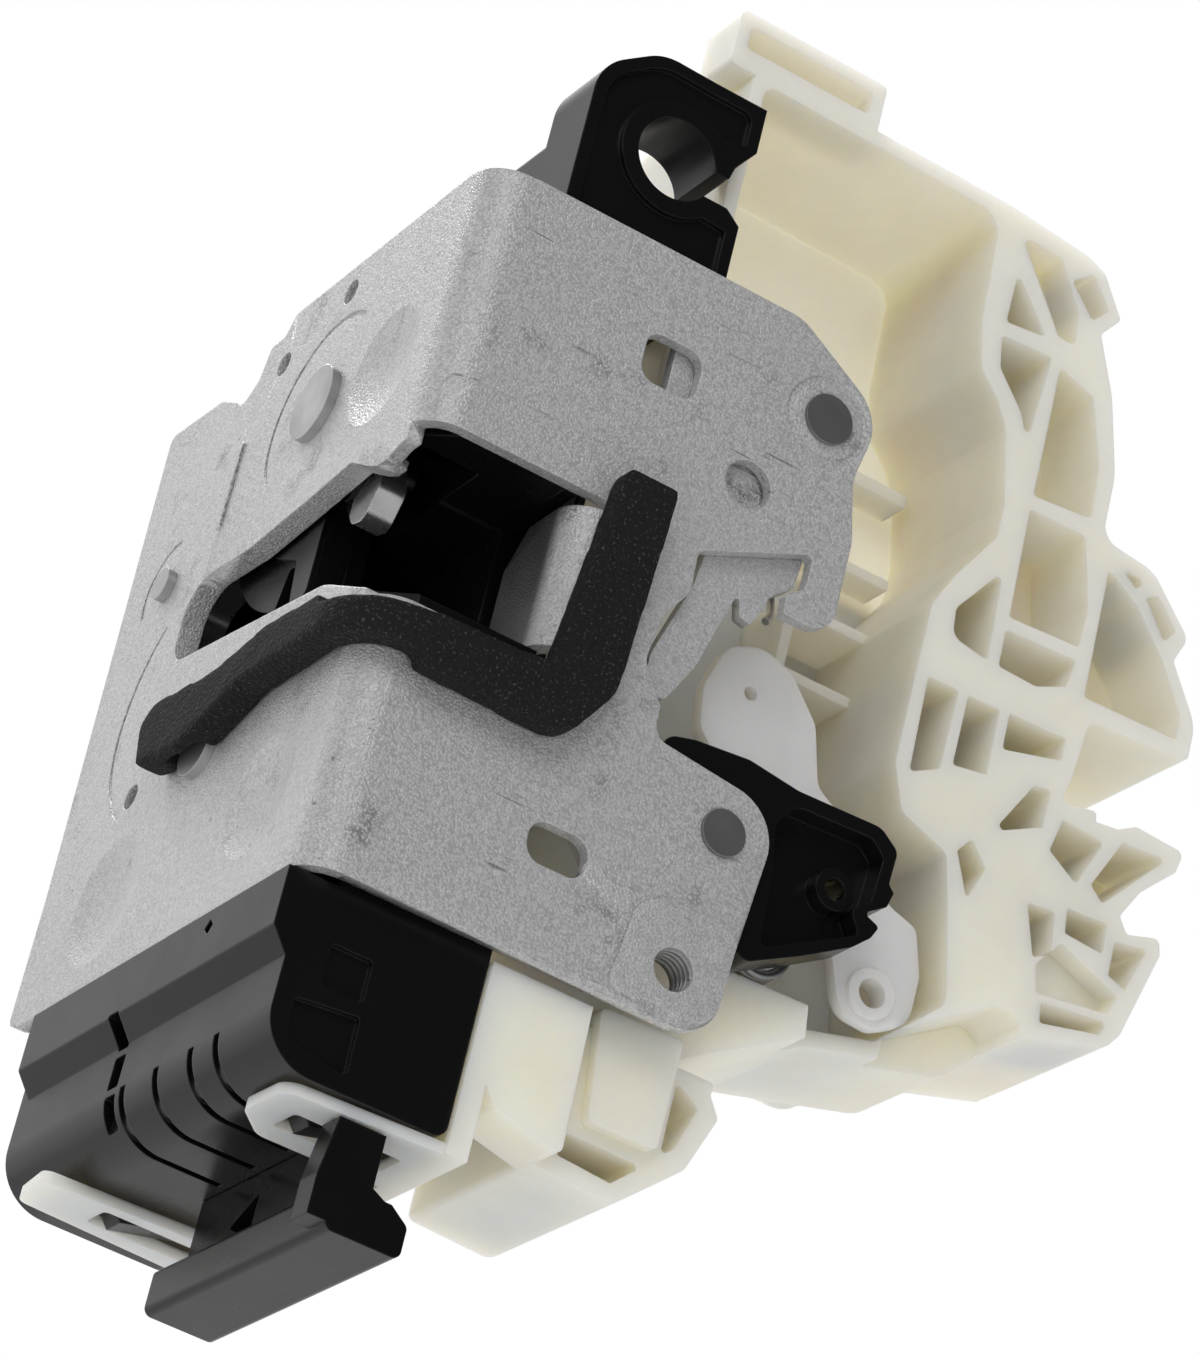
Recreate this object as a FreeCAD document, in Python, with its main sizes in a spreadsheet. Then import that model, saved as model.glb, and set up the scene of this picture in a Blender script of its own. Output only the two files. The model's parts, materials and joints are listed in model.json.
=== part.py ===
import FreeCAD, Part
import math
import os
import re
from types import SimpleNamespace

import Sketcher

# Door latch actuator: a bent steel frame with a rotary claw and pawl, a moulded latch housing,
# outside and inside release levers, and a moulded actuator housing with a motor driven lock lever.
# Frame: X runs forward from the rear mounting face, Y runs outward from the side mounting face,
# Z runs up along the bend. The origin is the corner of the two faces at the striker's centre line.

DRIVING_SIZES = {
    # Steel frame
    "plate_thick": 2.0,
    "bend_radius": 6.0,
    "plate_top": 50.2,
    "plate_bottom": -56.6,
    "rear_width": 91.5,
    "side_width": 65.4,
    "slot_top": 9.8,
    "slot_bottom": -10.2,
    "slot_end": 66.0,
    "side_slot_end": 29.5,
    "side_slot_bottom": -16.8,
    "slot_flange": 3.4,
    "slot_flange_width": 1.4,
    "access_hole_radius": 3.6,
    "locating_hole_radius": 1.9,
    "groove_depth": 0.3,
    "lip_reach": 17.0,
    "lip_radius": 7.0,
    "tapped_hole_radius": 3.0,
    "tapped_hole_x": 53.6,
    "tapped_hole_z": -49.4,
    "tapped_collar_radius": 4.8,
    "tapped_collar_depth": 5.5,
    # Clearances
    "fit_gap": 0.3,
    "running_gap": 0.06,
    # Claw and pawl
    "claw_y": 37.3,
    "claw_z": 25.6,
    "claw_pin_radius": 4.0,
    "claw_head_radius": 5.7,
    "pawl_y": 44.4,
    "pawl_z": -26.3,
    "pawl_pin_radius": 3.5,
    "pawl_head_radius": 4.4,
    "rivet_proud": 1.4,
    "catch_front": 4.6,
    "catch_thick": 4.0,
    "cover_thick": 2.6,
    "skin_thick": 0.7,
    "plug_radius": 1.6,
    "claw_cam_radius": 29.0,
    "stop_post_y": 75.1,
    "stop_post_z": 10.6,
    "stop_post_radius": 1.8,
    "stop_head_radius": 2.5,
    # Latch housing
    "housing_front": 2.3,
    "housing_depth": 22.7,
    "housing_wall": 2.0,
    "housing_side": 2.3,
    "housing_outer": 86.0,
    "cavity_depth": 11.0,
    "spring_well_depth": 5.0,
    "spring_well_radius": 9.0,
    "backing_thick": 1.5,
    "bumper_thick": 3.0,
    "switch_front": 17.5,
    "switch_thick": 6.5,
    # Side levers
    "lever_thick": 2.0,
    "release_pin_x": 57.6,
    "release_pin_z": 37.2,
    "release_pin_radius": 2.8,
    "release_head_radius": 3.7,
    "handle_pin_x": 56.2,
    "handle_pin_z": -28.0,
    "handle_pin_radius": 2.6,
    "handle_head_radius": 3.3,
    "handle_lever_thick": 5.6,
    "handle_lever_floor": 2.2,
    "handle_eye_radius": 1.6,
    # Foam seal
    "foam_thick": 5.0,
    # Cable clip
    "clip_front": 2.5,
    "clip_ring_depth": 11.0,
    "clip_depth": 21.5,
    "clip_bore_radius": 6.2,
    "clip_bore_x": 27.3,
    "clip_bore_z": 65.6,
    # Actuator housing
    "rim": 10.0,
    "floor": 39.5,
    "floor_thick": 2.0,
    "platform": 27.0,
    "cell_floor": 24.0,
    "cover_depth": 15.5,
    "lock_pivot_x": 76.0,
    "lock_pivot_z": -15.0,
    "lock_shaft_radius": 4.0,
    "lock_lever_front": 13.5,
    "lock_lever_thick": 2.2,
    "rod_eye_radius": 2.1,
    "wheel_radius": 13.5,
    "wheel_thick": 6.0,
    "worm_radius": 3.6,
    "worm_core_radius": 2.6,
    "motor_width": 20.0,
    "motor_height": 12.6,
    "motor_length": 21.0,
    # Connector and its carrier
    "connector_front": 3.0,
    "band_outer": 77.5,
    "gill_width": 1.5,
    "pin_length": 20.0,
    "loop_low": -84.9,
    "loop_high": -83.3,
    "bar_front": 4.0,
    "bar_rear": 54.0,
    "carrier_front": 2.3,
    "carrier_side": 29.9,
    "connector_bottom": -83.0,
    "connector_forward": 29.6,
    "connector_outer": 80.0,
    "socket_depth": 20.0,
    "guard_bottom": -100.0,
    # Springs and screws
    "wire_radius": 0.6,
    "screw_radius": 1.6,
    "screw_head_radius": 3.2,
}

d = SimpleNamespace(**DRIVING_SIZES)

doc = FreeCAD.newDocument("door_latch_actuator")
sheet = doc.addObject("Spreadsheet::Sheet", "sizes")
for row, (alias, value) in enumerate(DRIVING_SIZES.items(), start=1):
    sheet.set("A%d" % row, alias)
    sheet.set("B%d" % row, str(value))
    sheet.setAlias("B%d" % row, alias)
doc.recompute()

PLANES = {"XY": "XY_Plane", "XZ": "XZ_Plane", "YZ": "YZ_Plane"}
sub_parts = []


def bound(text):
    """Turn a sum of size names into an expression on the sheet."""
    return re.sub(r"[a-z_][a-z_0-9]*", lambda name: "sizes." + name.group(0), str(text))


def new_body(label):
    body = doc.addObject("PartDesign::Body", label)
    body.Label = label
    sub_parts.append(body)
    return body


def corner_arc(before, corner, after, radius):
    """Give the ends and the middle of the arc that rounds a corner, held within its two runs."""
    longest_reach = 0.48 * min((before - corner).Length, (after - corner).Length)
    to_before = (before - corner).normalize()
    to_after = (after - corner).normalize()
    half_angle = to_before.getAngle(to_after) / 2
    reach = min(radius / math.tan(half_angle), longest_reach)
    radius = reach * math.tan(half_angle)
    bisector = (to_before + to_after).normalize()
    middle = corner + bisector * (radius / math.sin(half_angle) - radius)
    return corner + to_before * reach, middle, corner + to_after * reach


def loop_edges(points):
    """Straight edges through the points, with an arc at each point that has a radius."""
    corners = [FreeCAD.Vector(point[0], point[1], 0) for point in points]
    radii = [point[2] if len(point) > 2 else 0 for point in points]
    spans = []
    for index, corner in enumerate(corners):
        if radii[index]:
            following = corners[(index + 1) % len(corners)]
            spans.append(corner_arc(corners[index - 1], corner, following, radii[index]))
        else:
            spans.append((corner, None, corner))
    edges = []
    for index, (start, middle, end) in enumerate(spans):
        if middle is not None:
            edges.append(Part.Arc(start, middle, end))
        next_start = spans[(index + 1) % len(spans)][0]
        if end.distanceToPoint(next_start) > 1e-4:
            edges.append(Part.LineSegment(end, next_start))
    return edges


def circle(u, v, radius):
    """A round loop whose radius stays bound to the sheet."""
    return ("circle", u, v, radius)


def ring_sector(u, v, inner, outer, start, end):
    """A loop between two radii and two angles in degrees, counted from +u towards +v."""
    def at(radius, angle):
        return FreeCAD.Vector(u + radius * math.cos(math.radians(angle)),
                              v + radius * math.sin(math.radians(angle)), 0)
    middle = (start + end) / 2
    return ("edges", [Part.Arc(at(outer, start), at(outer, middle), at(outer, end)),
                      Part.LineSegment(at(outer, end), at(inner, end)),
                      Part.Arc(at(inner, end), at(inner, middle), at(inner, start)),
                      Part.LineSegment(at(inner, start), at(outer, start))])


def box_loop(u_low, v_low, u_high, v_high, radius=0.0):
    return [(u_low, v_low, radius), (u_high, v_low, radius),
            (u_high, v_high, radius), (u_low, v_high, radius)]


def new_sketch(body, plane, level, loops, name):
    """Draw closed loops on one of the body's own planes, at a level along its normal."""
    drawing = body.newObject("Sketcher::SketchObject", name + "_sketch")
    support = [item for item in body.Origin.OriginFeatures if item.Role == PLANES[plane]][0]
    drawing.AttachmentSupport = [(support, "")]
    drawing.MapMode = "FlatFace"
    sign = "-" if plane == "XZ" else ""
    drawing.setExpression("AttachmentOffset.Base.z", "%s(%s)" % (sign, bound(level)))
    for loop in loops:
        if loop[0] == "circle":
            centre = FreeCAD.Vector(loop[1], loop[2], 0)
            start_radius = float(size_sum(loop[3]))
            number = drawing.addGeometry(Part.Circle(centre, FreeCAD.Vector(0, 0, 1), start_radius))
            held = drawing.addConstraint(Sketcher.Constraint("Radius", number, start_radius))
            drawing.setExpression("Constraints[%d]" % held, bound(loop[3]))
        elif loop[0] == "edges":
            drawing.addGeometry(loop[1])
        else:
            drawing.addGeometry(loop_edges(loop))
    return drawing


def size_sum(text):
    """Work out a sum of size names for the drawing's starting value."""
    total = 0.0
    for sign, word in re.findall(r"([+-]?)\s*([\w.]+)", str(text)):
        value = DRIVING_SIZES[word] if word in DRIVING_SIZES else float(word)
        total += -value if sign == "-" else value
    return total


def add(body, plane, low, high, loops, name):
    """Pad loops from one level to another along the plane's normal axis."""
    level = high if plane == "XZ" else low
    drawing = new_sketch(body, plane, level, loops, name)
    feature = body.newObject("PartDesign::Pad", name)
    feature.Profile = drawing
    feature.setExpression("Length", "(%s) - (%s)" % (bound(high), bound(low)))
    doc.recompute()
    return feature


def cut(body, plane, low, high, loops, name):
    """Pocket loops from one level to another along the plane's normal axis."""
    level = low if plane == "XZ" else high
    before = body.Shape.Volume
    drawing = new_sketch(body, plane, level, loops, name)
    feature = body.newObject("PartDesign::Pocket", name)
    feature.Profile = drawing
    feature.setExpression("Length", "(%s) - (%s)" % (bound(high), bound(low)))
    doc.recompute()
    if body.Shape.Volume > before - 0.01:
        raise RuntimeError("%s cuts nothing from %s" % (name, body.Label))
    return feature


def shape_part(label, shape):
    part = doc.addObject("Part::Feature", label)
    part.Label = label
    part.Shape = shape
    sub_parts.append(part)
    return part


def around(y, z, radius, angle):
    """A point on the rear face's plane at an angle from +Y towards +Z."""
    return y + radius * math.cos(math.radians(angle)), z + radius * math.sin(math.radians(angle))


# Steel frame: one bent plate, open at the striker slot
frame = new_body("frame_plate")
bend_section = [(0, 0, d.bend_radius), (d.side_width, 0), (d.side_width, d.plate_thick),
                (d.plate_thick, d.plate_thick, d.bend_radius - d.plate_thick),
                (d.plate_thick, d.rear_width), (0, d.rear_width)]
add(frame, "XY", "plate_bottom", "plate_top", [bend_section], "bent_plate")

margin = 20.0
outside_side = box_loop(-margin, d.plate_bottom - margin, d.side_width + margin, d.plate_top + margin)
side_outline = [(-5, d.plate_top), (50.5, d.plate_top, 6), (65.6, 41.5, 7), (63.4, 30.5, 8),
                (65.8, 19.5, 8), (65.2, 6.5, 6.5), (57.7, 6.5), (57.6, 9.4), (60.1, 11.5, 1.2),
                (60.2, 16.9, 0.8), (43.2, 9.4, 2), (43.6, 3.0, 3), (40.5, -2.0, 2), (39.4, -9.5, 3),
                (43.2, -14.8, 1.5), (43.2, -19.3, 3.5), (64.1, -21.6, 7), (61.8, -45.0, 6),
                (61.2, d.plate_bottom, 6), (-5, d.plate_bottom)]
cut(frame, "XZ", "0 - 2", "bend_radius + 1", [outside_side, side_outline], "side_profile")
outside_rear = box_loop(-margin, d.plate_bottom - margin, d.rear_width + margin, d.plate_top + margin)
rear_outline = [(-5, d.plate_top), (55.5, 48.6, 1), (57.6, 45.6, 1), (61.6, 45.4, 1), (62.9, 40.4, 1.5),
                (66.6, 37.6, 2), (69.5, 39.4, 1.5), (75, 41.8, 3), (91.3, 42.2, 1.5), (87.4, -35.9, 4),
                (87.5, -55.6, 2), (84.5, d.plate_bottom, 1), (-5, d.plate_bottom)]
cut(frame, "YZ", "0 - 1", "bend_radius + 1", [outside_rear, rear_outline], "rear_profile")



def slot_loop(spread, near_top, near_bottom):
    """The striker slot on the rear face between its points near the bend, widened by a spread."""
    return near_top + [(11.2, 5.6 + spread, 1.2), (14.4, 6.8 + spread, 1.5), (20.5, d.slot_top + spread, 2),
                       (32.3, 8.4 + spread, 4), (48.3, 6.9 + spread, 6),
                       (d.slot_end + 0.2 + spread, 7.6 + spread, 5.5 + spread),
                       (d.slot_end - 0.4 + spread, -5.6 - spread, 5 + spread), (58, -6.3 - spread),
                       (18, d.slot_bottom - spread, 12)] + near_bottom


def flange_loop(spread):
    return slot_loop(spread, [(9, 5.6 + spread)], [(9, -13.9 - spread)])


# Striker slot, wider where it runs round the bend, with its edge flanged inward on the rear face
add(frame, "YZ", "plate_thick - 0.5", "slot_flange", [flange_loop(d.slot_flange_width)], "slot_flange_wall")
rear_slot = slot_loop(0.0, [(-1, d.slot_top), (1.0, d.slot_top), (4.6, 7.0, 1), (8.4, 5.6, 1.2)],
                      [(5, d.side_slot_bottom + 1.3, 8), (-1, d.side_slot_bottom)])
cut(frame, "YZ", "0 - 1", "bend_radius - plate_thick + 0.2", [rear_slot], "rear_slot")
side_slot = [(-1, d.side_slot_bottom), (d.side_slot_end + 1.5, d.side_slot_bottom, 4),
             (d.side_slot_end + 1.5, d.slot_top, 4), (-1, d.slot_top)]
cut(frame, "XZ", "0 - 1", "bend_radius - plate_thick + 0.2", [side_slot], "side_slot")

# Curled lip that guides the striker past the end of the side slot
lip_edge = d.side_slot_end + 1.5
lip_section = [(lip_edge + 4, 0), (lip_edge - d.lip_radius, 0, d.lip_radius),
               (lip_edge - d.lip_radius, d.lip_reach), (lip_edge - d.lip_radius + d.plate_thick, d.lip_reach),
               (lip_edge - d.lip_radius + d.plate_thick, d.plate_thick, d.lip_radius - d.plate_thick),
               (lip_edge + 4, d.plate_thick)]
add(frame, "XY", "slot_bottom - 3", "slot_top - 1.5", [lip_section], "striker_lip")
lip_corner = [(d.lip_reach - 6, d.slot_top), (d.lip_reach + 1, d.slot_top), (d.lip_reach + 1, d.slot_top - 8)]
cut(frame, "YZ", "side_slot_end - lip_radius", "side_slot_end - 2", [lip_corner], "lip_corner")

# Collar and hole for the side screw, rivet seats and access holes
boss_pad = [(44.7, -55.6, 2), (46.3, -42.6, 4), (50, -40.3, 5), (61.9, -40.3, 2), (61.0, -56.0, 5)]
add(frame, "XZ", "0 - 0.5", "0.5", [boss_pad], "screw_pad")
tapped = (d.tapped_hole_x, d.tapped_hole_z)
add(frame, "XZ", "plate_thick - 0.5", "tapped_collar_depth", [circle(*tapped, "tapped_collar_radius")],
    "tapped_collar")
cut(frame, "XZ", "0 - 1", "tapped_collar_depth", [circle(*tapped, "tapped_hole_radius")], "tapped_hole")
upper_rivet = (d.release_pin_x, d.release_pin_z)
lower_rivet = (d.handle_pin_x, d.handle_pin_z)
cut(frame, "XZ", "0 - 1", "plate_thick", [circle(*upper_rivet, "release_pin_radius + running_gap"),
                                          circle(*lower_rivet, "handle_pin_radius + running_gap"),
                                          circle(48.1, 22.1, "access_hole_radius"),
                                          box_loop(28.4, 29.6, 37.4, 37.2, 2.4),
                                          box_loop(29.1, -43.6, 38.2, -37.6, 2.6)], "side_holes")
cut(frame, "XZ", "0 - 0.5", "0.3", [circle(*upper_rivet, "release_head_radius + 2.8"),
                                    circle(*upper_rivet, "release_head_radius + 1.9")], "rivet_ring")
cut(frame, "YZ", "0 - 1", "plate_thick", [circle(d.claw_y, d.claw_z, "claw_pin_radius + running_gap"),
                                          circle(d.pawl_y, d.pawl_z, "pawl_pin_radius + running_gap"),
                                          circle(d.stop_post_y, d.stop_post_z, "stop_post_radius + running_gap"),
                                          circle(37.5, 44.6, "locating_hole_radius"),
                                          circle(55.1, 39.9, "locating_hole_radius"),
                                          circle(66.1, -26.4, "locating_hole_radius")], "rear_holes")

# Pressed grooves and a short bead on the rear face
groove_floor = "groove_depth"
grooves = {"claw_groove": (d.claw_y, d.claw_z, 14.2, -36, 122), "slot_groove": (56.5, -12.5, 20.8, -54, 46),
           "rivet_groove": (d.stop_post_y, d.stop_post_z, 7.4, -25, 92)}
for name, (groove_y, groove_z, groove_radius, first, last) in grooves.items():
    cut(frame, "YZ", "0 - 1", groove_floor,
        [ring_sector(groove_y, groove_z, groove_radius - 0.4, groove_radius + 0.4, first, last)], name)
bead = [(60.6, 30.4, 0.5), (62.6, 27.6, 1), (62.4, 15.0, 0.4), (61.2, 15.0, 0.4), (61.2, 27.0, 1)]
add(frame, "YZ", "0 - 0.4", "0.4", [bead], "pressed_bead")

# Shallow pressed bowls beside the rivets
bowl_sphere = 46.0
for number, (bowl_y, bowl_z, bowl_depth) in enumerate([(18.6, 24.2, 0.8), (21.0, -41.4, 0.6),
                                                       (62.4, -43.5, 0.7)]):
    bowl = frame.newObject("PartDesign::SubtractiveSphere", "pressed_bowl_%d" % number)
    bowl.Radius = bowl_sphere
    bowl.Placement = FreeCAD.Placement(FreeCAD.Vector(bowl_depth - bowl_sphere, bowl_y, bowl_z),
                                       FreeCAD.Rotation())
    doc.recompute()


def rear_pin(label, y, z, shaft, head, inner_end):
    """A shaft along X with a flat riveted head on the rear face."""
    pin = new_body(label)
    add(pin, "YZ", "0 - rivet_proud", "0", [circle(y, z, head)], label + "_head")
    add(pin, "YZ", "0", inner_end, [circle(y, z, shaft)], label + "_shaft")
    return pin


backing_face = "housing_front + housing_depth + fit_gap"
pin_end = backing_face + " + backing_thick + 1"
rear_pin("claw_pin", d.claw_y, d.claw_z, "claw_pin_radius", "claw_head_radius", pin_end)
rear_pin("pawl_pin", d.pawl_y, d.pawl_z, "pawl_pin_radius", "pawl_head_radius", pin_end)
rear_pin("frame_rivet", d.stop_post_y, d.stop_post_z, "stop_post_radius", "stop_head_radius",
         "catch_front - fit_gap")


def side_pin(label, x, z, shaft, head, grip):
    """A shaft along Y with a flush riveted head outside and a collar inside its lever."""
    pin = new_body(label)
    add(pin, "XZ", "0 - 0.6", "0", [circle(x, z, head)], label + "_head")
    add(pin, "XZ", "0", grip, [circle(x, z, shaft)], label + "_shaft")
    add(pin, "XZ", grip, grip + " + 1.2", [circle(x, z, head)], label + "_collar")
    return pin


release_back = "plate_thick + fit_gap + lever_thick + fit_gap"
side_pin("release_lever_pin", d.release_pin_x, d.release_pin_z, "release_pin_radius",
         "release_head_radius", release_back)
handle_back = "plate_thick + fit_gap + handle_lever_thick + fit_gap"
handle_pin = new_body("handle_lever_pin")
add(handle_pin, "XZ", "0 - 0.6", "0", [circle(*lower_rivet, "handle_head_radius")], "handle_pin_head")
add(handle_pin, "XZ", "0", handle_back, [circle(*lower_rivet, "handle_pin_radius")], "handle_pin_shaft")
add(handle_pin, "XZ", handle_back, handle_back + " + 1", [circle(*lower_rivet, "handle_head_radius")],
    "handle_pin_collar")

# Claw: a steel disc with a front prong, a rear prong and a stepped cam that the pawl rides
TOOTH_FACE = -75.0
CAM_END = -22.0


def claw_point(radius, angle, rounding=0.0):
    y, z = around(d.claw_y, d.claw_z, radius, angle)
    return (y, z, rounding)


claw_back = "catch_front + catch_thick"
claw = new_body("claw")
claw_outline = [claw_point(10.5, 150, 6), claw_point(16, -150, 3), claw_point(24.5, -136, 2),
                claw_point(26.5, -124, 2.2), claw_point(24.0, -118, 2), claw_point(14.5, -111, 4),
                claw_point(15.0, -103, 4), claw_point(30.0, -97, 1.5), claw_point(31.5, -88, 2.5),
                claw_point(22.5, -83, 1.5), claw_point(22.5, -76, 1), claw_point(26, -70),
                claw_point(26, -30, 3), claw_point(15, 10, 6), claw_point(12, 60, 8), claw_point(12, 105, 8)]
add(claw, "YZ", "catch_front", claw_back, [claw_outline], "claw_plate")
cam_ring = ring_sector(d.claw_y, d.claw_z, 18.0, d.claw_cam_radius, TOOTH_FACE, CAM_END)
add(claw, "YZ", "catch_front", claw_back, [cam_ring], "claw_cam")
cut(claw, "YZ", "catch_front", claw_back, [circle(d.claw_y, d.claw_z, "claw_pin_radius + running_gap")],
    "claw_bore")

# Moulding over both sides of the claw, joined by plugs, that leaves the front prong's tip bare
claw_cover = new_body("claw_cover")
cover_outline = [claw_point(10.5, 150, 6), claw_point(16, -150, 3), claw_point(20, -134, 3),
                 claw_point(13.5, -111, 4), claw_point(14.0, -103, 4), claw_point(30.0, -98.5, 1.5),
                 claw_point(31.5, -87, 2.5), claw_point(21.5, -83, 2), claw_point(21.5, -60, 8),
                 claw_point(24.5, -25, 8), claw_point(15, 10, 6), claw_point(12, 60, 8),
                 claw_point(12, 105, 8)]
cover_top = claw_back + " + cover_thick"
add(claw_cover, "YZ", claw_back, cover_top, [cover_outline], "cover_plate")
cut(claw_cover, "YZ", claw_back, cover_top, [circle(d.claw_y, d.claw_z, "claw_pin_radius + 0.2")],
    "cover_bore")
claw_plugs = [claw_point(16.5, -45)[:2], claw_point(17.5, -92)[:2]]
skin_face = "catch_front - skin_thick"
cut(claw, "YZ", "catch_front", claw_back, [circle(y, z, "plug_radius + running_gap") for y, z in claw_plugs],
    "plug_holes")
add(claw_cover, "YZ", "catch_front - 0.1", claw_back + " + 0.1", [circle(y, z, "plug_radius") for y, z in claw_plugs],
    "cover_plugs")
skin_outline = [claw_point(10.2, 150, 6), claw_point(15.6, -149, 2), claw_point(19.4, -139, 1),
                claw_point(19.6, -117.5, 1), claw_point(14.2, -111, 3), claw_point(14.6, -103, 3),
                claw_point(29.6, -97, 1.5), claw_point(31.0, -88.5, 2.2), claw_point(22.0, -83, 1.5),
                claw_point(21.5, -60, 6), claw_point(21.5, -30, 6), claw_point(14.6, 10, 6),
                claw_point(11.6, 60, 8), claw_point(11.6, 105, 8)]
add(claw_cover, "YZ", skin_face, "catch_front", [skin_outline], "outer_skin")
cut(claw_cover, "YZ", skin_face, "catch_front", [circle(d.claw_y, d.claw_z, "claw_pin_radius + 0.2")],
    "skin_bore")

# Pawl: a lever that reaches round the closed end of the slot and rests on the claw's cam
PAWL_NOSE = -28.0
nose_radius = d.claw_cam_radius + d.fit_gap + 0.15


def pawl_point(y, z, rounding=0.0):
    return (d.pawl_y + y, d.pawl_z + z, rounding)


pawl = new_body("pawl")
pawl_outline = [pawl_point(-7, -4, 4), pawl_point(2, -9, 5), pawl_point(14, -3, 6), pawl_point(28, 6, 8),
                pawl_point(32.5, 24, 10), pawl_point(30.5, 41, 4), claw_point(nose_radius, PAWL_NOSE + 4, 1.2),
                claw_point(nose_radius, PAWL_NOSE - 3, 0.8), pawl_point(26.5, 34, 3), pawl_point(25.5, 22, 6),
                pawl_point(22.5, 13, 6), pawl_point(10, 6, 6), pawl_point(-4, 7, 5)]
add(pawl, "YZ", "catch_front", claw_back, [pawl_outline], "pawl_plate")
cut(pawl, "YZ", "catch_front", claw_back, [circle(d.pawl_y, d.pawl_z, "pawl_pin_radius + running_gap")],
    "pawl_bore")
pawl_cover = new_body("pawl_cover")
pawl_cover_outline = [pawl_point(-7, -4, 4), pawl_point(2, -9, 5), pawl_point(14, -3, 6),
                      pawl_point(27, 5, 8), pawl_point(31, 20, 6), pawl_point(26, 20, 2),
                      pawl_point(22.5, 13, 6), pawl_point(10, 6, 6), pawl_point(-4, 7, 5)]
add(pawl_cover, "YZ", claw_back, cover_top, [pawl_cover_outline], "pawl_cover_plate")
cut(pawl_cover, "YZ", claw_back, cover_top, [circle(d.pawl_y, d.pawl_z, "pawl_pin_radius + 0.2")],
    "pawl_cover_bore")

# Latch housing: a moulded block behind the rear face with the striker channel and catch cavity
housing_back = "housing_front + housing_depth"
latch_housing = new_body("latch_housing")
housing_outline = [(d.housing_side, d.plate_bottom + 1, 2), (d.housing_outer - 1.2, d.plate_bottom + 1, 3),
                   (d.housing_outer, -35, 4), (d.housing_outer + 1.5, 36, 3), (72.0, 37, 3), (64.5, 43, 3),
                   (54, 47, 3), (d.housing_side, d.plate_top - 1.5, 2)]
add(latch_housing, "YZ", "housing_front", housing_back, [housing_outline], "housing_block")
bend_relief = [(0, 0), (d.bend_radius + 3, 0), (d.bend_radius + 3, d.housing_side - 0.1),
               (d.bend_radius + 1, d.housing_side - 0.1), (d.housing_front - 0.1, d.bend_radius + 1),
               (0, d.bend_radius + 1)]
cut(latch_housing, "XY", "plate_bottom - 1", "plate_top + 1", [bend_relief], "bend_relief")
channel = [(-1, d.slot_bottom - 0.4), (d.slot_end - 1, -6.6, 4), (d.slot_end + d.bumper_thick, -6.6),
           (d.slot_end + d.bumper_thick, 7.4), (d.slot_end - 4, 7.4, 4), (-1, d.slot_top + 0.4)]
cut(latch_housing, "YZ", "housing_front - 1", housing_back + " - housing_wall", [channel], "striker_channel")
cut(latch_housing, "YZ", "housing_front - 1", "slot_flange + fit_gap",
    [flange_loop(d.slot_flange_width + d.fit_gap)], "flange_relief")
lip_relief = box_loop(-1, d.slot_bottom - 4, d.lip_reach + 2, d.slot_top)
cut(latch_housing, "YZ", "housing_front", housing_back + " + 1", [lip_relief], "lip_relief")
claw_room = [(8, 17, 4), (9, 3, 3), (20, -6, 2), (70.5, -6, 3), (70.5, 31, 6), (64.5, 40, 6),
             (30, 42, 10), (18, 36, 6)]
cut(latch_housing, "YZ", "housing_front - 1", "housing_front + cavity_depth", [claw_room], "claw_room")
pawl_room = [(34, -18, 4), (34, -39, 5), (58, -39, 5), (75, -26, 5), (82, -8, 8), (82, 20, 5),
             (60, 20, 2), (60, 4, 1), (66, -2, 2), (60, -12, 3)]
cut(latch_housing, "YZ", "housing_front - 1", "housing_front + cavity_depth", [pawl_room], "pawl_room")
well_floor = "housing_front + cavity_depth + spring_well_depth"
cut(latch_housing, "YZ", "housing_front + cavity_depth - 1", well_floor,
    [circle(d.claw_y, d.claw_z, "spring_well_radius"), circle(d.pawl_y, d.pawl_z, "spring_well_radius - 1")],
    "spring_wells")
cut(latch_housing, "YZ", "housing_front", housing_back + " + 1",
    [circle(d.claw_y, d.claw_z, "claw_pin_radius + 0.1"), circle(d.pawl_y, d.pawl_z, "pawl_pin_radius + 0.1")],
    "pin_holes")

# Steel plate that backs the housing and carries the inner ends of both pins
backing = new_body("backing_plate")
backing_outline = [(24, 18, 3), (31, 40, 5), (56, 40, 5), (72, 24, 4), (78, 8, 4), (76, -30, 5),
                   (54, -42, 5), (34, -40, 5), (30, -18, 5), (60, -11, 5), (71, 0, 8), (60, 12, 5)]
backing_back = backing_face + " + backing_thick"
add(backing, "YZ", backing_face, backing_back, [backing_outline], "backing_sheet")
cut(backing, "YZ", backing_face, backing_back,
    [circle(d.claw_y, d.claw_z, "claw_pin_radius + running_gap"),
     circle(d.pawl_y, d.pawl_z, "pawl_pin_radius + running_gap")], "backing_holes")

# Rubber bumper at the closed end of the channel
bumper = new_body("striker_bumper")
bumper_outline = [(d.slot_end + 0.2, -6.4, 1), (d.slot_end + d.bumper_thick - 0.1, -6.4),
                  (d.slot_end + d.bumper_thick - 0.1, 7.2), (d.slot_end + 0.2, 7.2, 1)]
add(bumper, "YZ", cover_top + " + 2", housing_back + " - housing_wall", [bumper_outline], "bumper_block")


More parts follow.
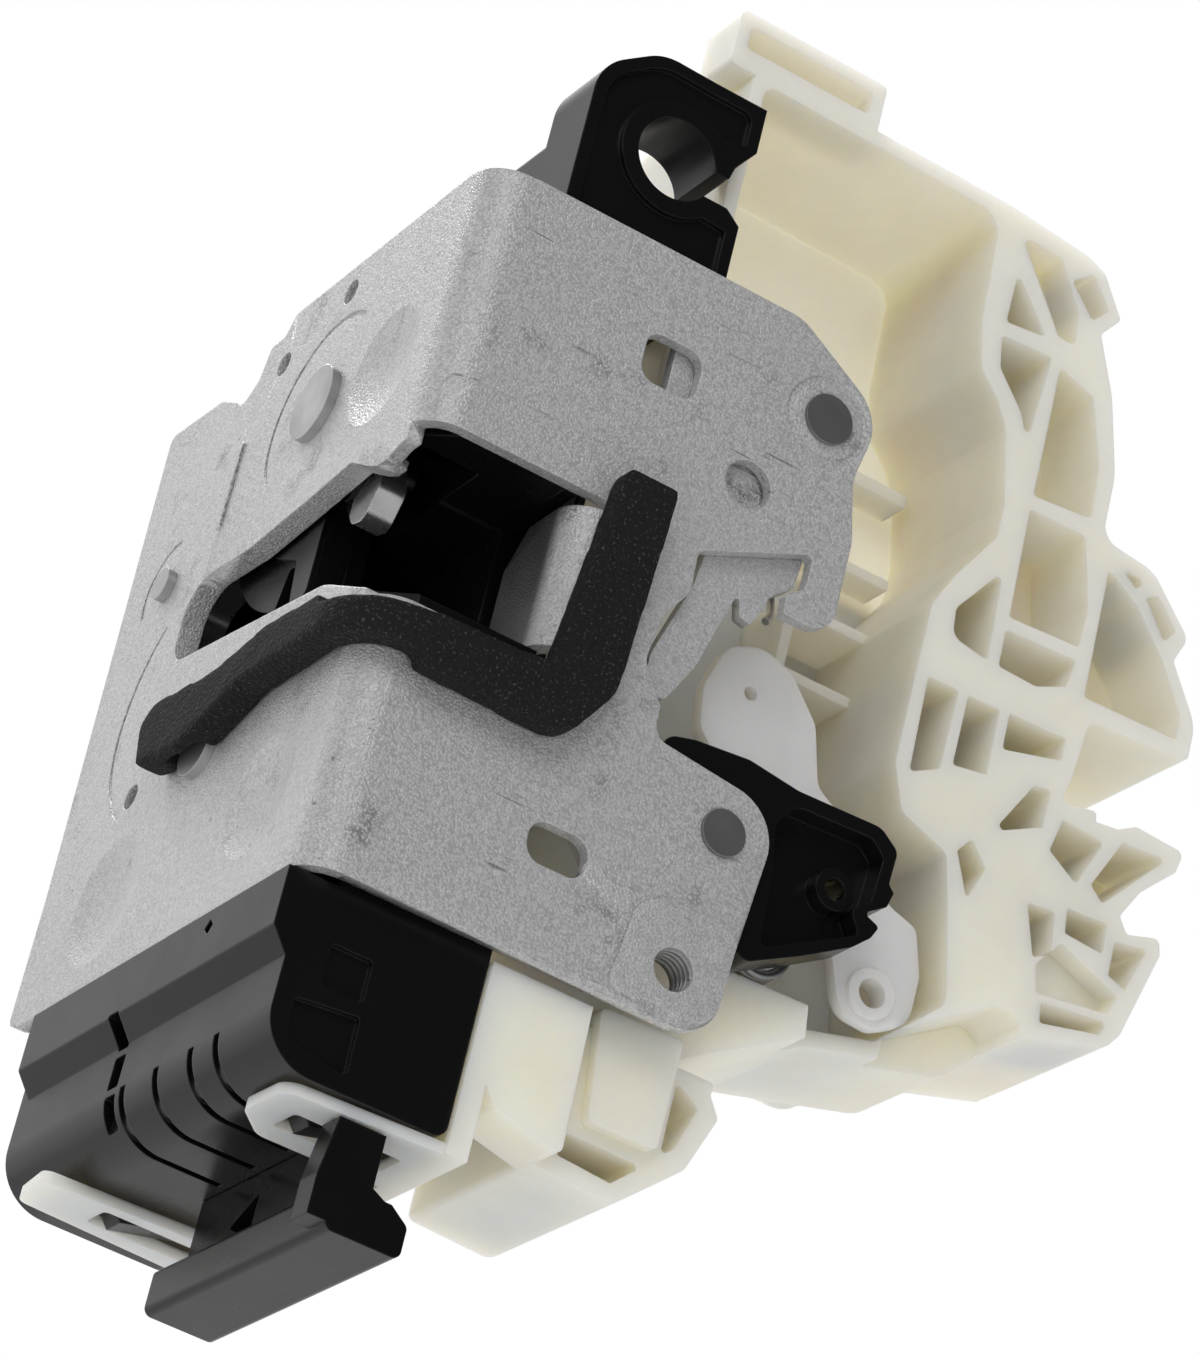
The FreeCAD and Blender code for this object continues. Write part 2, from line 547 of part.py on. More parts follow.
def torsion_spring(label, base, axis, start_angle, coil_radius, half_turns, first_leg, last_leg):
    """A wire wound in tilted half turns from a base point, with a straight leg at each end.

    Angles count in degrees round the axis from the coil's own reference direction."""
    rise = d.wire_radius + 0.08
    flat_radius = math.sqrt(coil_radius ** 2 - (rise / 2) ** 2)
    edges = []
    for half in range(half_turns):
        side = 1 if half % 2 == 0 else -1
        height = rise * half
        edges.append(Part.Arc(FreeCAD.Vector(side * flat_radius, 0, height),
                              FreeCAD.Vector(0, side * coil_radius, height + rise / 2),
                              FreeCAD.Vector(-side * flat_radius, 0, height + rise)).toShape())
    start = FreeCAD.Vector(flat_radius, 0, 0)
    last_side = 1 if half_turns % 2 == 0 else -1
    end = FreeCAD.Vector(last_side * flat_radius, 0, rise * half_turns)
    first_end = start - FreeCAD.Vector(0, first_leg, 0)
    edges.insert(0, Part.makeLine(first_end, start))
    edges.append(Part.makeLine(end, end + FreeCAD.Vector(0, last_side * last_leg, 0)))
    section = Part.Wire(Part.makeCircle(d.wire_radius, first_end, FreeCAD.Vector(0, 1, 0)))
    solid = Part.Wire(edges).makePipeShell([section], True, False)
    turn = FreeCAD.Rotation(FreeCAD.Vector(0, 0, 1), axis).multiply(
        FreeCAD.Rotation(FreeCAD.Vector(0, 0, 1), start_angle))
    part = shape_part(label, solid)
    part.Placement = FreeCAD.Placement(base, turn)
    return part


FORWARD = FreeCAD.Vector(1, 0, 0)
OUTWARD = FreeCAD.Vector(0, 1, 0)
spring_base = d.housing_front + d.cavity_depth + 0.9
torsion_spring("claw_spring", FreeCAD.Vector(spring_base, d.claw_y, d.claw_z), FORWARD, 20,
               d.claw_pin_radius + 2.2, 5, 4.0, 4.0)
torsion_spring("pawl_spring", FreeCAD.Vector(spring_base, d.pawl_y, d.pawl_z), FORWARD, 200,
               d.pawl_pin_radius + 2.0, 5, 3.5, 3.5)

# Steel release lever behind the side face, with a long arm and a hooked tab in the plate's notch
lever_front = "plate_thick + fit_gap"
lever_back = lever_front + " + lever_thick"
release = new_body("release_lever")
release_outline = [(34, 41, 2), (52, 44.3, 6), (63.5, 43.6, 6), (64.6, 31, 6), (60.5, 22, 3),
                   (59.4, 12.0, 1), (56.4, 9.3, 0.5), (54.4, 3.9, 0.5), (52.5, 4.4, 0.5),
                   (51.7, 8.2, 0.5), (47.9, -5.7, 3), (44.6, -12.2, 1), (41.2, -12.6, 1.2),
                   (41.0, -7.0, 3), (44.8, 5.4, 4), (45.6, 12.5, 3), (41, 19, 5), (34, 27, 3)]
add(release, "XZ", lever_front, lever_back, [release_outline], "release_plate")
cut(release, "XZ", lever_front, lever_back, [circle(*upper_rivet, "release_pin_radius + running_gap")],
    "release_bore")
spring_start = d.plate_thick + d.fit_gap + d.lever_thick + d.fit_gap + 1.2
torsion_spring("release_spring", FreeCAD.Vector(d.release_pin_x, spring_start, d.release_pin_z), OUTWARD,
               188, d.release_head_radius + d.wire_radius + d.fit_gap, 5, 6.0, 18.0)

# Moulded outside handle lever behind the side face
handle = new_body("handle_lever")
handle_outline = [(45.6, -17.0, 2.5), (50.4, -15.7, 3), (58.9, -14.8, 4), (67.1, -15.8, 5),
                  (80.5, -15.3, 3), (83.7, -17.6, 1.5), (83.4, -22.6, 0.6), (84.4, -23.6, 0.3),
                  (83.8, -25.9, 0.3), (80.6, -28.2, 0.5), (83.3, -29.2, 0.5), (82.4, -31.2, 1),
                  (79.9, -33.7, 2), (72.5, -38.3, 4), (65.0, -42.4, 1.5), (56, -38.5, 6), (47, -28, 6)]
handle_floor = lever_front + " + handle_lever_thick - handle_lever_floor"
handle_rear = lever_front + " + handle_lever_thick"
add(handle, "XZ", lever_front, handle_rear, [handle_outline], "handle_plate")
handle_recess = [(67.6, -18.0, 2), (79.6, -17.4, 2), (81.8, -19.4, 1), (81.3, -26.4, 1), (78.6, -28.6, 1),
                 (80.6, -31.6, 1), (72.0, -36.5, 3), (66.4, -39.8, 1), (65.8, -28, 3), (64.6, -21.5, 4)]
cut(handle, "XZ", lever_front + " - 0.01", handle_floor, [handle_recess], "handle_recess")
handle_eye = (76.0, -26.5)
add(handle, "XZ", lever_front + " + 0.8", handle_rear, [circle(*handle_eye, "handle_eye_radius + 1.4")],
    "handle_boss")
cut(handle, "XZ", lever_front, handle_rear, [circle(*handle_eye, "handle_eye_radius"),
                                             circle(*lower_rivet, "handle_pin_radius + running_gap")],
    "handle_bores")
spring_tower = (70.6, -35.6)
handle_spring_front = d.plate_thick + d.fit_gap + d.handle_lever_thick + 1.0
torsion_spring("handle_spring", FreeCAD.Vector(spring_tower[0], handle_spring_front, spring_tower[1]),
               OUTWARD, -90, 4.0, 6, 6.0, 6.0)

# Foam seal that follows the slot's lower edge round the bend and up past its closed end
foam = new_body("foam_seal")
foam_bend = [(-d.foam_thick, -d.foam_thick, d.bend_radius + d.foam_thick), (60, -d.foam_thick), (60, -0.05),
             (-0.05, -0.05, d.bend_radius), (-0.05, 70), (-d.foam_thick, 70)]
add(foam, "XY", "slot_bottom - 20", "slot_top + 8", [foam_bend], "foam_sheet")
far = 90.0
foam_side = [(-far, -18.6), (3, -19.4, 6), (24.8, -18.4, 2), (28.4, 13.4, 1), (36.6, 13.6, 1), (34.6, -18.5, 4),
             (29.0, -27.2, 5), (3, -26.6, 6), (-far, -25.6)]
outside_foam = box_loop(-far - 10, -60, far, 60)
cut(foam, "XZ", "0 - foam_thick - 1", "bend_radius + 1", [outside_foam, foam_side], "foam_side_profile")
foam_rear = [(-far, -19.6), (3, -18.0, 6), (22, -17.0, 12), (37, -19.1, 12), (54.0, -17.6, 2.5),
             (57.8, -20.0, 2), (55.4, -27.4, 0.8), (42.5, -29.0, 8), (26, -24.4, 10), (6, -24.6, 8),
             (-far, -27.5)]
cut(foam, "YZ", "0 - foam_thick - 1", "bend_radius + 1", [outside_foam, foam_rear], "foam_rear_profile")
cut(foam, "YZ", "0 - foam_thick + 2", "0.5", [circle(d.pawl_y, d.pawl_z, "pawl_head_radius + fit_gap")],
    "rivet_relief")

# Cable clip: an open ring with a raised collar and rim, on a foot that stands on the latch housing
clip = new_body("cable_clip")
clip_left = 12.6
clip_right = 38.8
clip_foot = d.plate_top - 1.5
clip_outline = [(clip_left, clip_foot), (clip_right, clip_foot), (clip_right, 80.0), (30.5, 80.0, 4),
                (21.5, 80.2, 8), (clip_left, 73.8, 8)]
ring_back = "clip_front + clip_ring_depth"
clip_back = "clip_front + clip_depth"
add(clip, "XZ", "clip_front", ring_back, [clip_outline], "clip_ring")
clip_recess = [(clip_left + 2, clip_foot + 2, 1), (clip_right - 1.8, clip_foot + 2, 1), (36.9, 61.2, 1.5),
               (36.9, 78.2, 1.5), (30.3, 78.2, 3), (22.0, 78.4, 7), (clip_left + 2, 72.8, 7)]
cut(clip, "XZ", "clip_front", "clip_front + 0.9", [clip_recess], "clip_recess")
bore_place = (d.clip_bore_x, d.clip_bore_z)
add(clip, "XZ", "clip_front", "clip_front + 1.4", [circle(*bore_place, "clip_bore_radius + 2.6")],
    "clip_collar")
clip_rim = [(d.clip_bore_x, 59.2), (32.4, 59.0, 1), (clip_right, 58.6), (clip_right, 63.2), (d.clip_bore_x, 63.2)]
add(clip, "XZ", "clip_front", "clip_front + 1.4", [clip_rim], "lower_jaw_rim")
jaw_rim = [(d.clip_bore_x, 66.0), (clip_right, 66.0), (clip_right, 73.4), (d.clip_bore_x, 71.0)]
add(clip, "XZ", "clip_front", "clip_front + 0.5", [jaw_rim], "upper_jaw_rim")
add(clip, "XZ", ring_back, clip_back, [box_loop(clip_left, clip_foot, clip_right, 57.5)], "clip_base")
add(clip, "XZ", ring_back + " - 0.5", clip_back, [[(clip_left, clip_foot), (17.0, clip_foot), (17.0, 65.8, 1.5),
                                                   (clip_left, 65.8, 1.5)]], "clip_back_wall")
add(clip, "YZ", "16.5", "21.0", [circle(19.5, 62.0, "5.2")], "clip_back_boss")
clip_mouth = [(d.clip_bore_x, 60.8), (30.6, 60.6, 1), (32.0, 62.2, 1), (36.4, 62.2, 1), (clip_right + 0.2, 60.2),
              (clip_right + 0.2, 73.0), (36.2, 69.0, 0.4), (35.6, 66.6, 0.4), (28.9, 66.6, 0.3),
              (27.6, 69.0, 0.3), (d.clip_bore_x, 69.0)]
cut(clip, "XZ", "clip_front", clip_back, [clip_mouth], "clip_mouth")
cut(clip, "XZ", "clip_front", clip_back, [circle(*bore_place, "clip_bore_radius")], "clip_bore")

# Actuator housing: a deep moulded tray, open towards the side face
tray = new_body("actuator_housing")
tray_back = "floor + floor_thick"
tray_outline = [(39.1, 91.8, 3), (84, 91.3, 8), (98, 90.0, 4), (101.3, 88.6, 2), (105.4, 82.6, 1),
                (102.6, 78.8, 1), (106.5, 70, 14), (109.6, 58, 14), (109.6, 47.6, 3), (118.9, 46.6, 5),
                (126.7, 39.0, 2), (125.0, 34.6, 1), (130.5, 26.5, 6), (130.4, 20.6, 1), (113.5, 19.4, 2),
                (112.4, 9.4, 1), (111.4, 5.2, 1), (117.4, 6.6, 0.8), (117.6, 5.0, 0.3), (121.4, 5.5, 0.5),
                (124.2, 7.2, 1), (132.6, 6.8, 1), (131.9, 3.4, 1), (126.8, -2.1, 1), (124.3, -6.9, 0.8),
                (126.0, -9.1, 0.8), (131.3, -7.4, 1), (131.9, -9.8, 1), (127.9, -24, 2),
                (126.2, -26.4, 1.5), (113.3, -30.2, 4), (107.5, -36.2, 6), (95.0, -39.6, 2),
                (83.8, -42.6, 1), (64.4, -54.4, 2), (60, -57.4, 2), (45.4, -57.4, 2), (45.4, -40, 3),
                (36, -30, 3), (36, 45.5, 2), (39.1, 48.2, 2)]
add(tray, "XZ", "rim", tray_back, [tray_outline], "tray_block")
main_well = [(41.3, 89.5, 2), (82.6, 88.9, 4), (83.2, 71, 3), (84.6, 64, 3), (88.3, 60.4, 3), (90.6, 56.6, 3),
             (93.0, 45, 3), (92.8, 39.4, 3), (87.8, 31, 3), (85.0, 25, 3), (84.8, 16.4, 2), (84.6, -0.5, 2),
             (87.2, -7.2, 2), (95.4, -10, 2), (97.4, -18, 1), (100.2, -31, 3), (94.6, -37.2, 2),
             (83.4, -40.2, 1), (64.6, -40.6, 2), (56, -40.6, 3), (47.6, -37, 3), (47.6, -14, 3),
             (38.2, 0, 3), (38.2, 44.5, 2), (41.3, 47.2, 2)]
cut(tray, "XZ", "rim", "floor", [main_well], "main_well")

# Ribbed lobe: cells between the inner wall and the outer wall, with the ribs left standing
lobe_cells = [
    [(87.2, 81.6, 0.6), (94.0, 73.8, 0.6), (87.0, 72.9, 0.6)],
    [(86.8, 70.6, 0.6), (95.6, 71.2, 0.6), (94.4, 56.2, 0.6), (92.4, 60.2, 1.5), (87.6, 65.4, 1.5)],
    [(97.2, 70.4, 0.6), (103.6, 68.4, 1), (106.8, 58, 4), (107.2, 49.6, 1), (97.2, 48.6, 0.6)],
    [(97.1, 46.4, 0.6), (107.0, 46.6, 1), (109.6, 36, 3), (109.4, 29.4, 0.6), (97.4, 28.6, 0.6)],
    [(95.0, 35.0, 0.6), (88.8, 26.0, 2), (89.2, 21.6, 2), (95.4, 20.6, 0.6)],
    [(97.3, 26.6, 0.6), (109.5, 27.3, 0.6), (108.6, 22.6, 0.6), (103.8, 20.4, 2), (97.3, 20.6, 0.6)],
    [(111.7, 43.6, 0.6), (117.6, 40.0, 2), (123.2, 34.0, 2), (127.9, 26.8, 1), (128.0, 23.0, 0.6),
     (111.8, 22.4, 0.6)],
    [(113.6, 44.7, 0.4), (118.0, 44.4, 0.6), (116.6, 42.6, 0.4)],
    [(118.6, 42.0, 0.5), (120.6, 43.2, 0.6), (124.6, 39.2, 0.6), (122.9, 36.8, 0.5)],
    [(96.2, 84.8, 0.6), (99.6, 87.6, 0.6), (103.2, 83.2, 0.6), (100.8, 80.2, 0.6)],
]
cut(tray, "XZ", "rim", "cell_floor", lobe_cells, "lobe_cells")
shallow_cell = [(86.4, 87.8, 1), (93.8, 87.4, 1), (98.4, 80.4, 2), (99.0, 74.6, 2), (95.8, 75.0, 1)]
cut(tray, "XZ", "rim", "rim + 6", [shallow_cell], "shallow_cell")

# Strip of small pockets under the lobe, and the cells of the stepped cable bracket
strip_pockets = [[(86.8, 14.0, 0.5), (92.0, 14.2, 0.5), (91.6, 1.5, 0.5), (87.0, -1.0, 0.5)],
                 [(93.6, 14.2, 0.5), (99.0, 14.4, 0.5), (99.0, 4.0, 0.5), (93.4, 3.0, 0.5)],
                 [(100.6, 14.6, 0.5), (110.4, 15.0, 0.5), (110.2, 11.4, 0.5), (100.6, 8.8, 0.5)]]
bracket_cells = [[(96.9, -8.9, 0.4), (98.9, -6.2, 0.4), (101.9, -9.6, 0.4), (99.9, -15.2, 0.4)],
                 [(101.8, -3.6, 0.6), (106.8, 5.9, 0.6), (109.6, 6.4, 0.6), (109.4, 0.4, 0.6)],
                 [(112.4, 3.0, 0.6), (119.6, 2.6, 0.6), (116.4, -5.4, 0.6), (111.2, -2.4, 0.6)],
                 [(118.8, -4.4, 0.5), (122.6, 4.0, 0.6), (130.2, 4.6, 0.6), (121.2, -6.4, 0.5)],
                 [(109.4, -11.4, 0.4), (114.0, -10.8, 0.4), (114.8, -17.2, 0.4), (111.9, -18.8, 0.4)],
                 [(115.8, -9.4, 0.4), (122.6, -8.9, 0.4), (122.8, -13.6, 0.4), (116.2, -13.2, 0.4)],
                 [(124.3, -11.0, 0.4), (129.8, -9.9, 0.4), (127.4, -17.2, 0.4), (124.3, -16.2, 0.4)],
                 [(114.6, -24.6, 0.5), (125.6, -23.0, 0.6), (124.8, -25.2, 0.6), (115.0, -27.6, 0.5)]]
cut(tray, "XZ", "rim", "platform", strip_pockets, "strip_pockets")
cut(tray, "XZ", "rim", "cell_floor", bracket_cells, "bracket_cells")
shelf = [(112.6, -19.6, 0.5), (116.0, -14.8, 0.5), (126.6, -18.6, 0.5), (125.4, -21.8, 0.5), (113.6, -23.6, 0.5)]
cut(tray, "XZ", "rim", "rim + 4", [shelf], "bracket_shelf")

# Ribs on the floor, the rod access notch, the arm's end box and the bosses
floor_ribs = [box_loop(60, 52.0, 90.0, 54.0), box_loop(62, 38.0, 90.0, 39.6)]
add(tray, "XZ", "floor - 6", "floor + 0.5", floor_ribs, "floor_ribs")
deep_ribs = {"low_rib": box_loop(72, 14.0, 85.5, 15.6), "high_rib": box_loop(72, 24.6, 85.8, 26.2),
             "joining_rib": box_loop(72, 15.0, 73.6, 26.0)}
for name, rib_loop in deep_ribs.items():
    add(tray, "XZ", "floor - 12", "floor + 0.5", [rib_loop], name)
eye_sweep = ring_sector(d.lock_pivot_x, d.lock_pivot_z, 22.0, 33.0, -82, -47)
cut(tray, "XZ", "rim", "lock_lever_front + lock_lever_thick + 1.3", [eye_sweep], "eye_notch")
rod_notch = [(95.4, -45, 1), (95.4, -36, 1), (109.6, -27, 4), (112.4, -29, 1), (112.4, -45, 1)]
cut(tray, "XZ", "rim", "rim + 11", [rod_notch], "rod_notch")
arm_box = box_loop(35, 90.0, 60, 99.2, 1.0)
add(tray, "XZ", "rim", "rim + 9", [arm_box], "arm_box")
cut(tray, "XZ", "rim", "rim + 7", [box_loop(37, 93.4, 58, 97.2, 0.8)], "arm_pocket")
tower_back = "floor + 0.5"
add(tray, "XZ", "plate_thick + fit_gap + handle_lever_thick + fit_gap + 0.5", tower_back,
    [circle(*spring_tower, "3.2")], "spring_tower")
ear_low = [box_loop(d.housing_front + d.housing_depth, -55.0, 46.0, -44.0)]
add(tray, "XZ", "floor", tray_back, ear_low, "low_ear_floor")
ear_high = [box_loop(d.housing_front + d.housing_depth, 41.8, 37.0, 48.4)]
add(tray, "XZ", "floor", tray_back, ear_high, "high_ear_floor")
ear_back = "housing_front + housing_depth + 3"
ear_faces = [box_loop(20.0, -55.0, d.floor + d.floor_thick, -44.0, 1.0)]
add(tray, "YZ", "housing_front + housing_depth", ear_back, ear_faces, "low_ear")
add(tray, "YZ", "housing_front + housing_depth", ear_back,
    [box_loop(20.0, 41.8, d.floor + d.floor_thick, 48.4, 1.0)], "high_ear")
lock_pivot = (d.lock_pivot_x, d.lock_pivot_z)
add(tray, "XZ", "floor - 14", "floor + 0.5", [circle(*lock_pivot, "lock_shaft_radius + 3")], "pivot_boss")
cut(tray, "XZ", "floor - 14", tray_back, [circle(*lock_pivot, "lock_shaft_radius + running_gap")], "pivot_bore")
cover_corners = [(64.0, -28.0), (64.0, 32.0), (103.4, 32.4), (103.0, -28.0)]
cut(tray, "XZ", "floor - 6", tray_back, [circle(x, z, "screw_radius + running_gap") for x, z in cover_corners],
    "screw_bores")

# Lock lever: a thin lever with two arms, moulded in one piece with its drive shaft
lock = new_body("lock_lever")
lock_rear = "lock_lever_front + lock_lever_thick"
lock_outline = [(56.2, -7.2, 3), (55.2, -1.0, 4), (57.4, 6.2, 4), (62.8, 8.4, 5), (68.0, 6.6, 3),
                (73.2, 1.0, 4), (75.6, -7.6, 3), (84.0, -12.2, 5), (90.2, -19.4, 4), (95.2, -20.8, 2),
                (97.2, -27.4, 3), (97.0, -34.8, 4), (92.0, -37.6, 3), (86.0, -37.2, 4), (83.0, -29.0, 6),
                (76.0, -24.0, 6), (67.4, -18.0, 6)]
add(lock, "XZ", "lock_lever_front", lock_rear, [lock_outline], "lock_plate")
shaft_end = "floor + floor_thick + 11"
add(lock, "XZ", "lock_lever_front + 0.5", shaft_end, [circle(*lock_pivot, "lock_shaft_radius")], "lock_shaft")
rod_eye = (90.1, -33.1)
add(lock, "XZ", "lock_lever_front - 0.8", lock_rear + " + 0.8", [circle(*rod_eye, "rod_eye_radius + 1.6")],
    "rod_eye_boss")
cut(lock, "XZ", "lock_lever_front - 0.8", lock_rear + " + 0.8", [circle(*rod_eye, "rod_eye_radius"),
                                                               circle(62.4, 1.0, "1.0")], "lock_holes")

# Worm wheel on the drive shaft, with straight teeth
wheel = new_body("worm_wheel")
TOOTH_COUNT = 28
wheel_front = "floor + floor_thick + 4"
wheel_rear = wheel_front + " + wheel_thick"
add(wheel, "XZ", wheel_front, wheel_rear, [circle(*lock_pivot, "wheel_radius")], "wheel_disc")
cut(wheel, "XZ", wheel_front, wheel_rear, [circle(*lock_pivot, "lock_shaft_radius + running_gap")], "wheel_bore")
pitch_step = 360.0 / TOOTH_COUNT


def wheel_point(radius, angle):
    return (d.lock_pivot_x + radius * math.cos(math.radians(angle)),
            d.lock_pivot_z + radius * math.sin(math.radians(angle)))


tooth_gaps = [[wheel_point(d.wheel_radius + 1, step * pitch_step + pitch_step * 0.30),
               wheel_point(d.wheel_radius + 1, step * pitch_step - pitch_step * 0.30),
               wheel_point(d.wheel_radius - 2.0, step * pitch_step - pitch_step * 0.14),
               wheel_point(d.wheel_radius - 2.0, step * pitch_step + pitch_step * 0.14)]
              for step in range(TOOTH_COUNT)]
cut(wheel, "XZ", wheel_front, wheel_rear, tooth_gaps, "tooth_gaps")

# Motor with its worm, lying along Z behind the housing floor
worm_x = d.lock_pivot_x + d.wheel_radius + d.worm_radius + d.fit_gap
worm_y = d.floor + d.floor_thick + 7.0
motor_can = new_body("motor_can")
half_width = d.motor_width / 2
half_height = d.motor_height / 2
can_loop = [(worm_x - half_width, worm_y - half_height, 5.5), (worm_x + half_width, worm_y - half_height, 5.5),
            (worm_x + half_width, worm_y + half_height, 5.5), (worm_x - half_width, worm_y + half_height, 5.5)]
add(motor_can, "XY", "4", "4 + motor_length", [can_loop], "can")
add(motor_can, "XY", "2.8", "4.5", [circle(worm_x, worm_y, "3.4")], "can_bushing")
shaft_bore = "1.0 + running_gap"
cut(motor_can, "XY", "2.8", "12", [circle(worm_x, worm_y, shaft_bore)], "can_bore")
motor_cap = new_body("motor_end_cap")
add(motor_cap, "XY", "4 + motor_length", "4 + motor_length + 2.2", [can_loop], "cap")

worm_low = -23.0
worm_high = -7.0
worm_base = FreeCAD.Vector(worm_x, worm_y, worm_low)
UP = FreeCAD.Vector(0, 0, 1)
worm_core = Part.makeCylinder(d.worm_core_radius, worm_high - worm_low, worm_base, UP)
worm_rod = Part.makeCylinder(1.0, 11.0 + 27.5, FreeCAD.Vector(worm_x, worm_y, -27.5), UP)
worm_lead = 2 * math.pi * (d.wheel_radius - 1) / TOOTH_COUNT
worm_turns = 5
thread_path = Part.makeHelix(worm_lead, worm_lead * worm_turns, d.worm_core_radius)
root = d.worm_core_radius - 0.3
thread_section = Part.makePolygon([FreeCAD.Vector(root, 0, -0.75), FreeCAD.Vector(d.worm_radius, 0, -0.3),
                                   FreeCAD.Vector(d.worm_radius, 0, 0.3), FreeCAD.Vector(root, 0, 0.75),
                                   FreeCAD.Vector(root, 0, -0.75)])
thread = Part.Wire(thread_path.Edges).makePipeShell([thread_section], True, True)
thread.translate(worm_base + FreeCAD.Vector(0, 0, 0.9))
shape_part("worm_shaft", worm_core.fuse([worm_rod, thread]))

# Cover over the motor and the gear
cover = new_body("actuator_cover")
cover_back = tray_back + " + cover_depth"
cover_inner = cover_back + " - 1.6"
add(cover, "XZ", tray_back, cover_back, [box_loop(59, -33, 108, 37, 6)], "cover_block")
cut(cover, "XZ", tray_back, cover_inner, [[(61, -22, 2), (70, -31, 3), (97, -31, 2), (97, -22, 2), (106, -20, 2),
                                           (106, 28, 1), (99.2, 28, 1), (99.2, 34, 2), (70, 35, 3), (61, 26, 2)]],
    "cover_cavity")
add(cover, "XZ", tray_back + " + 3.5", cover_inner + " + 0.5", [box_loop(worm_x - 3, -30, worm_x + 3, -25)],
    "worm_bearing")
cut(cover, "XY", "0 - 28", "0 - 24.9", [circle(worm_x, worm_y, shaft_bore)], "bearing_bore")
cut(cover, "XZ", tray_back, cover_back, [circle(x, z, "screw_radius + running_gap") for x, z in cover_corners],
    "cover_screw_bores")

screws = []
for number, (x, z) in enumerate(cover_corners):
    shank = doc.addObject("Part::Cylinder", "screw_shank_%d" % number)
    shank.setExpression("Radius", "sizes.screw_radius")
    shank.setExpression("Height", "sizes.cover_depth + sizes.floor_thick + 4")
    head = doc.addObject("Part::Cylinder", "screw_head_%d" % number)
    head.setExpression("Radius", "sizes.screw_head_radius")
    head.Height = 2.0
    toward_tray = FreeCAD.Rotation(FreeCAD.Vector(1, 0, 0), 90)
    head_face = d.floor + d.floor_thick + d.cover_depth
    shank.Placement = FreeCAD.Placement(FreeCAD.Vector(x, head_face, z), toward_tray)
    head.Placement = FreeCAD.Placement(FreeCAD.Vector(x, head_face + 2.0, z), toward_tray)
    screw = doc.addObject("Part::Fuse", "screw_%d" % number)
    screw.Base = shank
    screw.Tool = head
    screws.append(screw)
screw_group = doc.addObject("Part::Compound", "cover_screws")
screw_group.Label = "cover_screws"
screw_group.Links = screws
sub_parts.append(screw_group)
doc.recompute()

# Sealed switches in the latch housing, read by the claw and the pawl
switch_back = "switch_front + switch_thick"
switch_places = {"claw_switch": (56.0, 27.0), "pawl_switch": (68.5, -31.0)}
for label, (y, z) in switch_places.items():
    pocket = box_loop(y - 6.6, z - 4.1, y + 6.6, z + 4.1, 0.6)
    cut(latch_housing, "YZ", "switch_front - fit_gap", housing_back + " + 0.1", [pocket], label + "_pocket")
    switch = new_body(label)
    add(switch, "YZ", "switch_front", switch_back, [box_loop(y - 6.3, z - 3.8, y + 6.3, z + 3.8, 0.5)], label + "_case")
    add(switch, "YZ", switch_back, switch_back + " + 0.7", [circle(y + 3, z, "1.2")], label + "_button")

# Connector housing under the frame, with its socket opening outward
connector = new_body("connector_housing")
connector_top = -55.9
wall_x = d.housing_front - 0.1
block_loop = [(wall_x, d.connector_bottom, 7.5), (d.connector_forward, d.connector_bottom, 2),
              (d.connector_forward, connector_top, 0), (wall_x, connector_top, 0)]
add(connector, "XZ", "connector_front", "connector_outer", [block_loop], "connector_block")
band_top = d.plate_bottom - 0.4
band_loop = [(-0.4, band_top), (-0.4, -65.4, 0.6), (wall_x + 0.5, -69.4), (wall_x + 0.5, band_top)]
add(connector, "XZ", "connector_front", "band_outer", [band_loop], "lip_band")
cut(connector, "XY", "plate_bottom - fit_gap", "plate_bottom + 2", [box_loop(0, 0, 7, 7)], "bend_clearance")

# Curved gills where the wall turns under, a bridged slot beside them and the small hole in the band
gill_loop = [(wall_x - 3, -75.5), (wall_x + 1.5, -75.5), (wall_x + 1.5, d.connector_bottom + 1.5, 6),
             (19.0, d.connector_bottom + 1.5), (19.0, d.connector_bottom - 1), (wall_x - 3, d.connector_bottom - 1)]
for number, gill_y in enumerate((17.2, 24.4, 34.3, 44.0)):
    cut(connector, "XZ", str(gill_y), "%s + gill_width" % gill_y, [gill_loop], "gill_%d" % number)
slot_bridges = [box_loop(46.8, low, 49.9, high, 0.4) for low, high in ((-69.2, -65.0), (-75.0, -70.2),
                                                                      (-80.6, -76.0))]
cut(connector, "YZ", "0 - 1", "housing_front + 2", slot_bridges, "bridged_slot")
cut(connector, "YZ", "0 - 1", "housing_front", [[(22.8, -59.6), (24.0, -58.4), (25.2, -59.6), (24.0, -60.8)]],
    "band_hole")
cut(connector, "XZ", "connector_front", "connector_front + 0.8", [box_loop(8.0, -70.4, 14.0, -64.6, 0.5),
                                  [(5.0, -79.0, 2), (14.4, -80.6, 0.8), (14.2, -72.4, 0.5), (5.0, -73.4, 0.5)]],
    "front_panels")

# Snap wedges under the housing, one in each loop of the carrier
for number, wedge_y in enumerate((10.9, 64.4)):
    wedge = [(12.6, d.connector_bottom + 0.5), (26.4, d.connector_bottom + 0.5), (14.6, d.connector_bottom - 2.2)]
    add(connector, "XZ", str(wedge_y), str(wedge_y + 4.2), [wedge], "snap_wedge_%d" % number)
socket_front = "connector_outer - socket_depth"
cut(connector, "XZ", socket_front, "connector_outer", [box_loop(6.0, -79.0, 26.0, -61.0, 2)], "socket")
pin_holes = []
pin_places = []
for column in range(5):
    for row in range(2):
        centre_x = 9.0 + 3.5 * column
        centre_z = -74.0 + 8.0 * row
        pin_places.append((centre_x, centre_z))
        pin_holes.append(box_loop(centre_x - 0.8, centre_z - 0.45, centre_x + 0.8, centre_z + 0.45))
pin_root = "connector_outer - socket_depth - 8"
